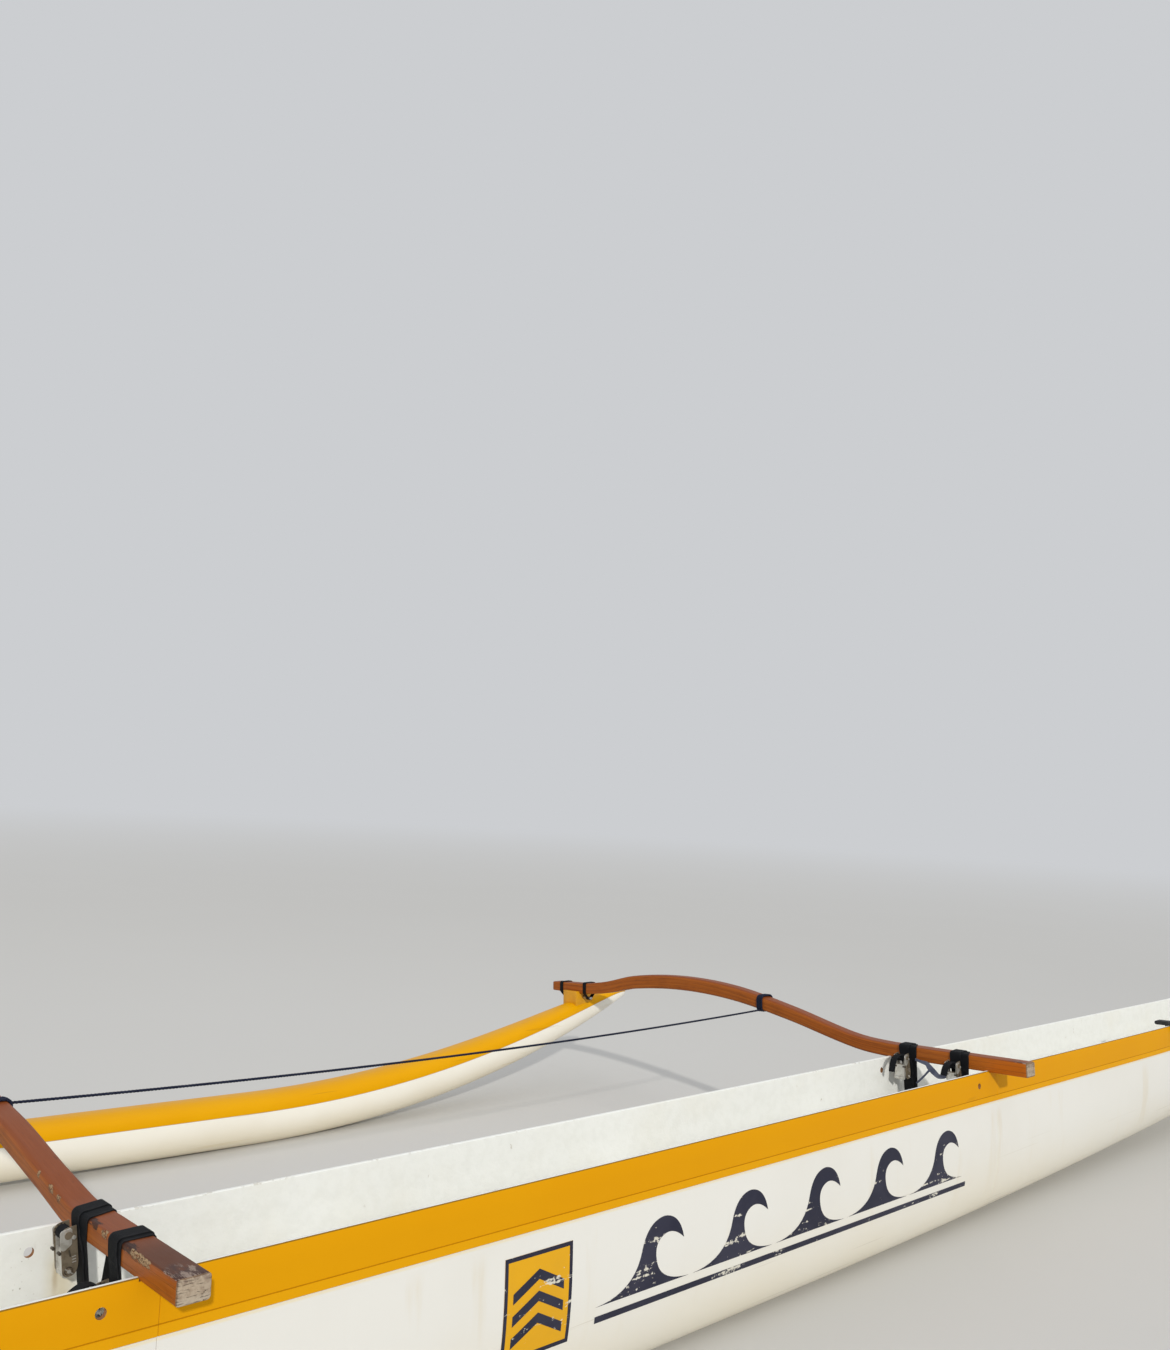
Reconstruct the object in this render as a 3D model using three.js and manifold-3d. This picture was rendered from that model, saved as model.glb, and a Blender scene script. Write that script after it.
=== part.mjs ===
// A six-seat outrigger canoe: a long hull in three lengths, an ama (float) on the port side
// and two wooden iakos (cross beams) held to the hull by ratchet straps.
// Millimetres, +X to the bow, +Y to port (the ama side), +Z up. The hull is drawn upright, with
// z = 0 at its gunwale midway between the iakos, and the whole rig is then leaned to port until
// the hull and the ama both touch the ground, which is how the canoe rests on a flat beach.

import * as THREE from 'three';
import { mergeVertices } from 'three/addons/utils/BufferGeometryUtils.js';
import Module from 'manifold-3d';

const wasm = await Module();
wasm.setup();

// Driving dimensions.
const GAP = 0.3; // between pieces that touch
const HALF_BEAM = 237.5; // gunwale, outside
const BAND = 124; // height of the coloured band under the gunwale
const BAND_LAP = 5; // the band moulding stands out from the lower hull
const HULL_WALL = 14;
const HULL_DEPTH = 624; // gunwale to keel, amidships
const SECTION_POWER = 3; // 2 is an ellipse, more is boxier
const END_POWER = 2.1;
const BOXY_TO = 1500; // the section changes from here to the ends
const BOXY_FADE = 5000;
const TAPER_POWER = 2.1;
const IAKO_X = 1760; // iako centres, before and behind midships
const IAKO_WIDTH = 71;
const BOW_SEAM_X = 1790;
const STERN_SEAM_X = -1748;
const AMA_Y = 2350;
const AMA_HALF_BEAM = 105;
const AMA_DECK_RISE = 72; // widest line to deck, amidships
const AMA_BELLY = 153; // widest line to bottom, amidships
const AMA_BOTTOM_Z = -457;
const AMA_PITCH = 0.0235; // it lies a little nose down against the hull
const STRAP_WIDTH = 50;
const STRAP_THICK = 3;
const BAR_RADIUS = 12;
const BAR_DROP = 185; // strap bar below the gunwale
const ROPE_RADIUS = 6;
const ROPE_Y = 960;
const SEAT_PITCH = 1173;
const SEAT_LENGTH = 230;
const SEAT_DROP = 230; // seat top below the gunwale
const SEAT_THICK = 40;

// The two ends of the hull. Side is +1 for the bow and -1 for the stern.
const ENDS = {
  bow: {
    side: 1,
    tip: 6900,
    shellEnd: 6400,
    deckStart: 5050,
    taperStart: 3400,
    sheerRise: 150,
    sheerPower: 6,
  },
  stern: {
    side: -1,
    tip: 6700,
    shellEnd: 6200,
    deckStart: 4500,
    taperStart: 3500,
    sheerRise: 165,
    sheerPower: 4,
  },
};
const SHEER_SLOPE = -0.004;
const KEEL_FLAT = 300; // half length of the level keel
const KEEL_RISE = 6.5; // at a metre beyond it
const KEEL_POWER = 1.9;
const STEM_HALF_WIDTH = 11;
const STEM_LIP = 45; // keel to gunwale, at the tips
const DECK_CROWN = 0.22; // of the half beam
const DECK_THICK = 8;
const CUT_REACH = 400; // a cutting block's reach past what it cuts

const endAt = (x) => (x >= 0 ? ENDS.bow : ENDS.stern);
const clamp01 = (value) => Math.min(1, Math.max(0, value));

// The hull's lines, each a height or a breadth at a distance from midships.
function sheer(x) {
  const { tip, sheerRise, sheerPower } = endAt(x);
  return SHEER_SLOPE * x + sheerRise * (Math.abs(x) / tip) ** sheerPower;
}

function halfBeam(x) {
  const end = endAt(x);
  const along = clamp01((Math.abs(x) - end.taperStart) / (end.tip - end.taperStart));
  return Math.max(STEM_HALF_WIDTH, HALF_BEAM * (1 - along ** TAPER_POWER));
}

function keel(x) {
  const end = endAt(x);
  const run = Math.max(0, Math.abs(x) - KEEL_FLAT) / 1000;
  const stem = clamp01((Math.abs(x) - end.shellEnd) / (end.tip - end.shellEnd));
  const low = KEEL_RISE * run ** KEEL_POWER - HULL_DEPTH;
  return low + (sheer(x) - STEM_LIP - low) * stem ** 3;
}

function sectionPower(x) {
  const along = clamp01((Math.abs(x) - BOXY_TO) / BOXY_FADE);
  return SECTION_POWER + (END_POWER - SECTION_POWER) * along;
}

// One half section, from the gunwale to the keel, as [breadth, height] pairs. Inset moves it inwards.
function halfSection(x, inset) {
  const breadth = halfBeam(x) - inset;
  const top = sheer(x);
  const bottom = keel(x) + inset;
  const band = Math.min(BAND, 0.45 * (top - bottom));
  const lap = Math.min(BAND_LAP, 0.3 * breadth);
  const power = sectionPower(x);
  const steps = 11;
  const points = [[breadth, top], [breadth, top - band]];
  const start = top - band - lap / 2;
  for (let i = 0; i <= steps; i += 1) {
    const angle = (i / steps) * (Math.PI / 2);
    points.push([
      (breadth - lap) * Math.cos(angle) ** (2 / power),
      start - (start - bottom) * Math.sin(angle) ** (2 / power),
    ]);
  }
  points[points.length - 1] = [0, bottom];
  return points;
}

// A whole section from the starboard gunwale round the keel to the port gunwale.
function hullSection(x, inset) {
  const port = halfSection(x, inset).reverse();
  const starboard = halfSection(x, inset).slice(0, -1);
  return [...starboard.map(([y, z]) => [-y, z]), ...port];
}

// The crowned top of a deck, from port to starboard.
function deckArc(x, drop, steps = 8) {
  const breadth = halfBeam(x);
  const points = [];
  for (let i = 0; i <= steps; i += 1) {
    const across = 1 - (2 * i) / steps;
    const height = sheer(x) + GAP + DECK_THICK + DECK_CROWN * breadth * (1 - across ** 2);
    points.push([breadth * across, height - drop]);
  }
  return points;
}

// A closed body through rings of [y, z] points, anticlockwise seen from +X, at rising x. Crossed
// splits its four-sided faces the other way, as the inner wall of a shell has them.
function loft(rings, crossed = false) {
  const count = rings[0].points.length;
  const position = rings.flatMap(({ x, points }) => points.flatMap(([y, z]) => [x, y, z]));
  const index = [];
  for (let ring = 0; ring < rings.length - 1; ring += 1) {
    for (let i = 0; i < count; i += 1) {
      const a = ring * count + i;
      const b = ring * count + ((i + 1) % count);
      if (crossed) index.push(a, b, a + count, b, b + count, a + count);
      else index.push(a, b, b + count, a, b + count, a + count);
    }
  }
  const cap = (ring, flip) => {
    const outline = rings[ring].points.map(([y, z]) => new THREE.Vector2(y, z));
    for (const [a, b, c] of THREE.ShapeUtils.triangulateShape(outline, [])) {
      const face = flip ? [a, c, b] : [a, b, c];
      index.push(...face.map((vertex) => ring * count + vertex));
    }
  };
  cap(0, true);
  cap(rings.length - 1, false);
  const geometry = new THREE.BufferGeometry();
  geometry.setAttribute('position', new THREE.Float32BufferAttribute(position, 3));
  geometry.setIndex(index);
  return geometry;
}

// Solids for joining and cutting, and back again.
function solid(geometry) {
  const bare = geometry.clone();
  bare.deleteAttribute('normal');
  bare.deleteAttribute('uv');
  const merged = mergeVertices(bare, 1e-3);
  const mesh = new wasm.Mesh({
    numProp: 3,
    vertProperties: Float32Array.from(merged.attributes.position.array),
    triVerts: Uint32Array.from(merged.index.array),
  });
  return new wasm.Manifold(mesh);
}

function geometryOf(body) {
  const mesh = body.getMesh();
  const geometry = new THREE.BufferGeometry();
  geometry.setAttribute('position', new THREE.Float32BufferAttribute(mesh.vertProperties, 3));
  geometry.setIndex(Array.from(mesh.triVerts));
  return geometry;
}

function box(xs, ys, zs) {
  const geometry = new THREE.BoxGeometry(xs[1] - xs[0], ys[1] - ys[0], zs[1] - zs[0]);
  return geometry.translate((xs[0] + xs[1]) / 2, (ys[0] + ys[1]) / 2, (zs[0] + zs[1]) / 2);
}

// A round bar along Y.
function crossRod(radius, x, z, y0, y1, sides = 16) {
  const geometry = new THREE.CylinderGeometry(radius, radius, y1 - y0, sides);
  return geometry.translate(x, (y0 + y1) / 2, z);
}

// A flat outline in X and Z, thickened along Y about a middle y.
function crossPlate(shape, y, thick, curveSegments = 4) {
  const geometry = new THREE.ExtrudeGeometry(shape, { depth: thick, bevelEnabled: false, curveSegments });
  return geometry.rotateX(Math.PI / 2).translate(0, y + thick / 2, 0);
}

// The line of a band pulled tight round circles {x, z, r}, listed anticlockwise.
function bandOutline(circles, grow, PathType = THREE.Shape) {
  const path = new PathType();
  const leave = (from, to) => {
    const heading = Math.atan2(to.z - from.z, to.x - from.x);
    const distance = Math.hypot(to.x - from.x, to.z - from.z);
    return heading - Math.acos((from.r - to.r) / distance);
  };
  circles.forEach((circle, i) => {
    const before = circles[(i + circles.length - 1) % circles.length];
    const after = circles[(i + 1) % circles.length];
    path.absarc(circle.x, circle.z, circle.r + grow, leave(before, circle), leave(circle, after), false);
  });
  path.closePath();
  return path;
}

// Materials.
function finish(color, roughness, metalness = 0) {
  return new THREE.MeshStandardMaterial({ color, roughness, metalness });
}
const white = finish(0xe9e7dc, 0.35);
const yellow = finish(0xdea005, 0.4);
const wood = finish(0x8c4a26, 0.45);
const black = finish(0x15161a, 0.8);
const steel = finish(0x8a8a86, 0.4, 0.9);
const navy = finish(0x1c2440, 0.8);

const rig = new THREE.Group();

function add(name, geometry, material) {
  const mesh = new THREE.Mesh(geometry, material);
  mesh.name = name;
  rig.add(mesh);
  return mesh;
}

// Iakos: laminated beams, swept up from the hull and down to the ama.
// Columns: distance to port, then thickness and centre height of the front beam and of the rear beam.
const IAKO_TABLE = [
  [0, 58, 16, 50, 25],
  [200, 58, 16, 50, 25],
  [240, 58, 16, 50, 28],
  [380, 58, 25, 52, 49],
  [500, 58, 46, 54, 67],
  [800, 62, 116, 60, 111],
  [1150, 68, 178, 68, 135],
  [1500, 70, 197, 70, 125],
  [1850, 70, 173, 70, 71],
  [2080, 64, 125, 64, -9],
  [2250, 58, 104, 58, -79],
  [2400, 54, 99, 54, -109],
  [2530, 50, 97, 50, -117],
];
const IAKOS = {
  front: { x: IAKO_X, overhang: 166, columns: [1, 2] },
  rear: { x: -IAKO_X, overhang: 185, columns: [3, 4] },
};
const IAKO_CORNER = 7;
const IAKO_STATIONS = [
  0, 200, 240, 310, 380, 440, 500, 600, 700, 800, 920, 1040, 1150,
  1270, 1390, 1500, 1620, 1740, 1850, 1940, 2010, 2080, 2160, 2250, 2325, 2400, 2460,
];
// The corners of a beam's section: sides across and up, and where its quarter turn starts.
const SECTION_CORNERS = [[-1, -1, 180], [1, -1, 270], [1, 1, 0], [-1, 1, 90]];

function iakoAt(iako, y) {
  const rows = IAKO_TABLE;
  const clampedY = Math.min(Math.max(y, rows[0][0]), rows[rows.length - 1][0]);
  let i = 0;
  while (i < rows.length - 2 && rows[i + 1][0] < clampedY) i += 1;
  const t = (clampedY - rows[i][0]) / (rows[i + 1][0] - rows[i][0]);
  const read = (column) => {
    const value = (row) => rows[Math.min(Math.max(row, 0), rows.length - 1)][column];
    const slope = (row) => {
      const low = Math.max(row - 1, 0);
      const high = Math.min(row + 1, rows.length - 1);
      return (value(high) - value(low)) / (rows[high][0] - rows[low][0]);
    };
    const span = rows[i + 1][0] - rows[i][0];
    const [t2, t3] = [t * t, t * t * t];
    return (2 * t3 - 3 * t2 + 1) * value(i) + (t3 - 2 * t2 + t) * span * slope(i)
      + (3 * t2 - 2 * t3) * value(i + 1) + (t3 - t2) * span * slope(i + 1);
  };
  const [thickness, height] = iako.columns;
  return { thick: read(thickness), z: read(height) };
}

function iakoGeometry(iako, grow) {
  const start = -HALF_BEAM - iako.overhang;
  const end = IAKO_TABLE[IAKO_TABLE.length - 1][0];
  const stops = [start, ...IAKO_STATIONS, end];
  const rings = stops.map((y, i) => {
    const { thick, z } = iakoAt(iako, y);
    const half = [IAKO_WIDTH / 2 + grow - IAKO_CORNER, thick / 2 + grow - IAKO_CORNER];
    const points = [];
    for (const [sy, sz, from] of SECTION_CORNERS) {
      for (const turn of [0, 45, 90]) {
        const angle = THREE.MathUtils.degToRad(from + turn);
        points.push([
          sy * half[0] + IAKO_CORNER * Math.cos(angle),
          z + sz * half[1] + IAKO_CORNER * Math.sin(angle),
        ]);
      }
    }
    const atEnd = i === 0 ? -grow : i === stops.length - 1 ? grow : 0;
    return { x: y + atEnd, points };
  });
  return loft(rings).rotateZ(Math.PI / 2).translate(iako.x, 0, 0);
}
const iakoCut = {};
for (const [where, iako] of Object.entries(IAKOS)) {
  add(`${where}_iako`, iakoGeometry(iako, 0), wood);
  iakoCut[where] = solid(iakoGeometry(iako, GAP));
}

// Hull shells: open above, one wall thick all round, with the holes under the gunwale drilled and
// the gunwales notched for the iakos.
const BOW_STATIONS = [2700, 3400, 4000, 4500, ENDS.bow.deckStart, 5600, 6000];
const MID_STATIONS = [-1100, -300, 300, 1100];
const STERN_STATIONS = [-5700, -5100, -ENDS.stern.deckStart, -4000, -3500, -2600];
const GUNWALE_HOLES = [{ x: -1868 }, { x: 1642 }];
const HOLE_RADIUS = 11.5;
const HOLE_DROP = 51;

function hullShell(stations) {
  const wall = loft(stations.map((x) => ({
    x,
    points: [...hullSection(x, 0), ...hullSection(x, HULL_WALL).reverse()],
  })));
  let body = solid(wall);
  for (const { x } of GUNWALE_HOLES) {
    if (x > stations[0] && x < stations[stations.length - 1]) {
      const drill = crossRod(HOLE_RADIUS, x, sheer(x) - HOLE_DROP, -2 * HALF_BEAM, 2 * HALF_BEAM, 20);
      body = body.subtract(solid(drill));
    }
  }
  for (const cut of Object.values(iakoCut)) body = body.subtract(cut);
  return geometryOf(body);
}

const bowShellX = [BOW_SEAM_X + GAP / 2, ...BOW_STATIONS, ENDS.bow.shellEnd];
const midShellX = [STERN_SEAM_X + GAP / 2, ...MID_STATIONS, BOW_SEAM_X - GAP / 2];
const sternShellX = [-ENDS.stern.shellEnd, ...STERN_STATIONS, STERN_SEAM_X - GAP / 2];
add('hull_bow_section', hullShell(bowShellX), white);
add('hull_mid_section', hullShell(midShellX), white);
add('hull_stern_section', hullShell(sternShellX), white);

// The space inside the hull, a running gap clear of its wall, for cutting what is fitted there.
const inside = solid(loft([
  ...sternShellX.slice(0, -1),
  STERN_SEAM_X,
  ...MID_STATIONS,
  BOW_SEAM_X,
  ...bowShellX.slice(1),
].map((x) => ({ x, points: hullSection(x, HULL_WALL + GAP) })), true));

// Solid stems that close the two ends and carry the decks' line out to the tips.
const STEM_STEPS = [0, 0.3, 0.55, 0.75, 0.9, 1];
function stem(end) {
  const stations = STEM_STEPS.map((step) => {
    const from = end.shellEnd + GAP;
    return end.side * (from + (end.tip - from) * step);
  });
  stations.sort((a, b) => a - b);
  return loft(stations.map((x) => {
    const top = deckArc(x, 0);
    return { x, points: [...hullSection(x, 0), ...top] };
  }));
}
add('bow_stem', stem(ENDS.bow), white);
add('stern_stem', stem(ENDS.stern), white);

// Decks: crowned plates bonded on the gunwales.
function deckRing(x) {
  const above = deckArc(x, 0);
  const below = deckArc(x, DECK_THICK).reverse();
  return { x, points: [...below, ...above] };
}
const foreDeckX = bowShellX.filter((x) => x >= ENDS.bow.deckStart);
const aftDeckX = sternShellX.filter((x) => x <= -ENDS.stern.deckStart);
add('fore_deck', loft(foreDeckX.map(deckRing)), white);
add('aft_deck', loft(aftDeckX.map(deckRing)), white);

// Bulkheads that close the buoyancy spaces under the decks.
const BULKHEAD_THICK = 12;
const BULKHEAD_SETBACK = 40; // in under the deck
const BULKHEAD_DROP = 2; // below the gunwale
for (const [name, end] of [['fore_bulkhead', ENDS.bow], ['aft_bulkhead', ENDS.stern]]) {
  const x = end.side * (end.deckStart + BULKHEAD_SETBACK);
  const plate = box(
    [x - BULKHEAD_THICK / 2, x + BULKHEAD_THICK / 2],
    [-CUT_REACH, CUT_REACH],
    [-2 * CUT_REACH, sheer(x) - BULKHEAD_DROP],
  );
  add(name, geometryOf(solid(plate).intersect(inside)), white);
}

// Splash guard: a low black V on the fore deck, its legs running aft along the gunwales. It bends
// at a distance back from its apex and in from its legs.
const GUARD = {
  apex: 5760,
  legEnd: 5060,
  thick: 9,
  inset: 10,
  foot: 20,
  bendBack: 300,
  bendIn: 25,
  bendThick: 1.5,
};
// Its crest, as distance from midships and height above the sheer.
const GUARD_CREST = [
  { x: 5000, rise: 28 },
  { x: 5180, rise: 60 },
  { x: 5820, rise: 157 },
];
function splashGuard() {
  const outer = halfBeam(GUARD.legEnd) - GUARD.inset;
  const outerBend = [GUARD.apex - GUARD.bendBack, outer - GUARD.bendIn];
  const bendRoom = GUARD.bendThick * GUARD.thick;
  const innerBend = [outerBend[0] - 2 * bendRoom, outerBend[1] - bendRoom];
  const shape = new THREE.Shape();
  shape.moveTo(GUARD.legEnd, outer);
  shape.lineTo(GUARD.legEnd, outer - GUARD.thick);
  shape.quadraticCurveTo(...innerBend, GUARD.apex - GUARD.thick * 2, 0);
  shape.quadraticCurveTo(innerBend[0], -innerBend[1], GUARD.legEnd, GUARD.thick - outer);
  shape.lineTo(GUARD.legEnd, -outer);
  shape.quadraticCurveTo(outerBend[0], -outerBend[1], GUARD.apex, 0);
  shape.quadraticCurveTo(...outerBend, GUARD.legEnd, outer);
  const low = sheer(GUARD.legEnd) - GUARD.foot;
  const wall = new THREE.ExtrudeGeometry(shape, { depth: CUT_REACH, bevelEnabled: false, curveSegments: 6 });
  const deckBelow = loft(foreDeckX.map((x) => {
    const above = deckArc(x, -GAP);
    const [first] = above;
    const last = above[above.length - 1];
    return { x, points: [[last[0], -2 * CUT_REACH], [first[0], -2 * CUT_REACH], ...above] };
  }));
  const topCut = loft(GUARD_CREST.map(({ x, rise }) => {
    const [crest, high] = [sheer(x) + rise, 3 * CUT_REACH];
    return { x, points: [[-CUT_REACH, crest], [CUT_REACH, crest], [CUT_REACH, high], [-CUT_REACH, high]] };
  }));
  return geometryOf(solid(wall.translate(0, 0, low)).subtract(solid(deckBelow)).subtract(solid(topCut)));
}
add('splash_guard', splashGuard(), black);

// Seats: six benches bonded from side to side.
function seat(x) {
  const top = sheer(x) - SEAT_DROP;
  const half = SEAT_LENGTH / 2;
  const nose = SEAT_THICK / 2;
  const circles = [
    { x: x - half + nose, z: top - nose, r: nose },
    { x: x + half - nose, z: top - nose, r: nose },
  ];
  const plank = crossPlate(bandOutline(circles, 0), 0, 3 * HALF_BEAM, 6);
  return geometryOf(solid(plank).intersect(inside));
}
for (let number = 1; number <= 6; number += 1) {
  add(`seat_${number}`, seat(SEAT_PITCH * (3 - number)), white);
}

// Ama: a slender float with an upturned nose, flat on the ground over its middle.
const AMA = {
  nose: 2150,
  tail: -3250,
  fullest: -500,
  noseRun: -286,
  tailRun: -1400,
  noseRise: 542,
  tailRise: 110,
};
const AMA_TIP = 0.13; // of its full section
const AMA_TAPER_POWER = 3.4;
const AMA_ROUNDING = 0.85; // 1 is an ellipse, less is boxier
function amaRing(x, grow) {
  const long = x > AMA.fullest ? AMA.nose - AMA.fullest : AMA.fullest - AMA.tail;
  const along = Math.abs(x - AMA.fullest) / long;
  const taper = Math.max(AMA_TIP, Math.sqrt(Math.max(0, 1 - along ** AMA_TAPER_POWER)));
  const fore = Math.max(0, x - AMA.noseRun) / (AMA.nose - AMA.noseRun);
  const aft = Math.max(0, AMA.tailRun - x) / (AMA.tailRun - AMA.tail);
  const bottom = AMA_BOTTOM_Z - AMA_PITCH * x + AMA.noseRise * fore ** 2 + AMA.tailRise * aft ** 2;
  const widest = bottom + AMA_BELLY * taper;
  const points = [];
  const count = 20;
  for (let i = 0; i < count; i += 1) {
    const angle = (i / count) * 2 * Math.PI;
    const [c, s] = [Math.cos(angle), Math.sin(angle)];
    const high = s > 0 ? AMA_DECK_RISE : AMA_BELLY;
    points.push([
      AMA_Y + Math.sign(c) * Math.abs(c) ** AMA_ROUNDING * (AMA_HALF_BEAM * taper + grow),
      widest + Math.sign(s) * Math.abs(s) ** AMA_ROUNDING * (high * taper + grow),
    ]);
  }
  return { x, points };
}
const AMA_STATIONS = [
  -3250, -3200, -3080, -2850, -2500, -2000, -1400, -900, -500,
  0, 500, 950, 1300, 1600, 1850, 2000, 2100, 2150,
];
const amaGeometry = (grow) => loft(AMA_STATIONS.map((x, i) => {
  const ring = amaRing(x, grow);
  const atEnd = i === 0 ? -grow : i === AMA_STATIONS.length - 1 ? grow : 0;
  return { x: x + atEnd, points: ring.points };
}));
add('ama', amaGeometry(0), white);
const amaCut = solid(amaGeometry(GAP));
const amaTop = (x) => Math.max(...amaRing(x, 0).points.map(([, z]) => z));

// Where each iako meets the ama: a saddle on the ama's deck, a rod through it along the iako,
// and a strap over the iako and under the rod at each end.
const SADDLE = { length: 124, width: 110, cheek: 12, sink: 60 };
const LASH_ROD = { radius: 8, reach: 120, rise: 20 };
const LASH_WIDTH = 25;
const LASH_INSET = 8; // from a rod's end
const CURVE_ROOM = 1.4; // the beam's curve under a strap
for (const [where, iako] of Object.entries(IAKOS)) {
  const { thick, z } = iakoAt(iako, AMA_Y);
  const under = z - thick / 2;
  const rodZ = amaTop(iako.x) + LASH_ROD.rise;
  const rodEnds = [AMA_Y - LASH_ROD.reach, AMA_Y + LASH_ROD.reach];
  const rod = crossRod(LASH_ROD.radius, iako.x, rodZ, ...rodEnds);
  const rodCut = crossRod(LASH_ROD.radius + GAP, iako.x, rodZ, ...rodEnds);
  const half = [SADDLE.length / 2, SADDLE.width / 2];
  const block = box([iako.x - half[0], iako.x + half[0]], [AMA_Y - half[1], AMA_Y + half[1]],
    [amaTop(iako.x) - SADDLE.sink, under + SADDLE.cheek]);
  add(`${where}_ama_saddle`, geometryOf(
    solid(block).subtract(amaCut).subtract(iakoCut[where]).subtract(solid(rodCut)),
  ), white);
  add(`${where}_ama_rod`, rod, steel);
  for (const [place, side] of [['inner', -1], ['outer', 1]]) {
    const y = AMA_Y + side * (LASH_ROD.reach - LASH_WIDTH / 2 - LASH_INSET);
    const beam = iakoAt(iako, y);
    const centre = beam.z;
    // The beam slopes across the strap's width.
    const climb = Math.abs(iakoAt(iako, y + LASH_WIDTH / 2).z - iakoAt(iako, y - LASH_WIDTH / 2).z);
    const tilt = CURVE_ROOM + climb / 2;
    const edge = IAKO_WIDTH / 2 - IAKO_CORNER;
    const top = centre + beam.thick / 2 - IAKO_CORNER + tilt;
    const circles = [
      { x: iako.x + edge, z: top, r: IAKO_CORNER },
      { x: iako.x - edge, z: top, r: IAKO_CORNER },
      { x: iako.x - edge, z: centre - beam.thick / 2 + IAKO_CORNER - tilt, r: IAKO_CORNER },
      { x: iako.x, z: rodZ, r: LASH_ROD.radius },
      { x: iako.x + edge, z: centre - beam.thick / 2 + IAKO_CORNER - tilt, r: IAKO_CORNER },
    ];
    const loop = bandOutline(circles, STRAP_THICK + GAP);
    loop.holes.push(bandOutline(circles, GAP, THREE.Path));
    add(`${where}_ama_strap_${place}`, crossPlate(loop, y, LASH_WIDTH), black);
  }
}

// Straps that hold the iakos to the hull: each goes over the iako and round a bar between the
// hull's sides, pulled tight by a ratchet on its after leg, which slides down it.
const STRAPS = {
  front: [
    { place: 'port', y: 140, slide: -26, open: 26 },
    { place: 'starboard', y: -102, slide: -26, open: 20 },
  ],
  rear: [
    { place: 'port', y: 120, slide: -26, open: 7 },
    { place: 'starboard', y: -100, slide: 60, open: 7 },
  ],
};
const RATCHET = { length: 106, cheekGap: 52, cheekThick: 2.5, cheekDepth: 36, base: 2, baseLength: 74 };
// What joins its two cheeks: the drum, and two rods.
const RATCHET_RODS = [
  { along: 17, out: 19, radius: 9 },
  { along: 93, out: 22.5, radius: 6 },
  { along: 50, out: 26, radius: 5 },
];
const LEVER = { length: 84, depth: 15, thick: 2.5, gap: 44, grip: 8 }; // it swings on the drum

function strapCircles(iako) {
  const { thick, z: centre } = iakoAt(iako, 0);
  const half = thick / 2 - IAKO_CORNER;
  const edge = IAKO_WIDTH / 2 - IAKO_CORNER;
  return [
    { x: iako.x + edge, z: centre + half, r: IAKO_CORNER },
    { x: iako.x - edge, z: centre + half, r: IAKO_CORNER },
    { x: iako.x - edge, z: centre - half, r: IAKO_CORNER },
    { x: iako.x, z: sheer(iako.x) - BAR_DROP, r: BAR_RADIUS },
    { x: iako.x + edge, z: centre - half, r: IAKO_CORNER },
  ];
}

// A ratchet lying along +X from its drum, with its base plate on the XY plane, facing +Z, and its
// lever swung open by an angle in degrees.
function ratchet(open) {
  const { length, cheekGap, cheekThick, cheekDepth, base, baseLength } = RATCHET;
  const cheek = new THREE.Shape();
  cheek.moveTo(0, 0);
  cheek.lineTo(length * 0.72, 0);
  cheek.quadraticCurveTo(length, 2, length, cheekDepth * 0.55);
  cheek.quadraticCurveTo(length, cheekDepth, length * 0.85, cheekDepth);
  cheek.lineTo(length * 0.2, cheekDepth);
  cheek.quadraticCurveTo(0, cheekDepth, 0, cheekDepth * 0.5);
  cheek.closePath();
  const middle = cheekGap / 2;
  let body = solid(box([base, baseLength], [-middle, middle], [0, base]));
  for (const { along, out, radius } of RATCHET_RODS) {
    body = body.add(solid(crossRod(radius, along, out, -middle - radius / 2, middle + radius / 2, 14)));
  }
  const [drum] = RATCHET_RODS;
  const half = LEVER.depth / 2;
  const arm = bandOutline([{ x: LEVER.length, z: 0, r: half }, { x: 0, z: 0, r: half }], 0);
  const swing = (geometry) => geometry
    .rotateY(-THREE.MathUtils.degToRad(open)).translate(drum.along, 0, drum.out);
  for (const side of [-1, 1]) {
    body = body.add(solid(crossPlate(cheek, side * (middle - cheekThick / 2), cheekThick, 5)));
    body = body.add(solid(swing(crossPlate(arm, side * (LEVER.gap - LEVER.thick) / 2, LEVER.thick))));
  }
  const grip = crossRod(LEVER.grip, LEVER.length, 0, -LEVER.gap / 2, LEVER.gap / 2, 14);
  return geometryOf(body.add(solid(swing(grip))));
}

for (const [where, iako] of Object.entries(IAKOS)) {
  const circles = strapCircles(iako);
  const barZ = sheer(iako.x) - BAR_DROP;
  const bar = solid(crossRod(BAR_RADIUS, iako.x, barZ, -HALF_BEAM, HALF_BEAM, 20)).intersect(inside);
  add(`${where}_strap_bar`, geometryOf(bar), steel);
  for (const { place, y, slide, open } of STRAPS[where]) {
    const loop = bandOutline(circles, STRAP_THICK + GAP);
    loop.holes.push(bandOutline(circles, GAP, THREE.Path));
    add(`${where}_${place}_strap`, crossPlate(loop, y, STRAP_WIDTH), black);
    const [, , corner, barCircle] = circles;
    const heading = Math.atan2(barCircle.z - corner.z, barCircle.x - corner.x);
    const distance = Math.hypot(barCircle.x - corner.x, barCircle.z - corner.z);
    const normal = heading - Math.acos((corner.r - barCircle.r) / distance);
    const away = corner.r + STRAP_THICK + 2 * GAP;
    const mesh = add(`${where}_${place}_ratchet`, ratchet(open), steel);
    mesh.position.set(
      corner.x + away * Math.cos(normal) - slide * Math.sin(normal),
      y,
      corner.z + away * Math.sin(normal) + slide * Math.cos(normal),
    );
    mesh.rotation.set(0, Math.PI / 2 - normal, Math.PI);
  }
}

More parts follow.
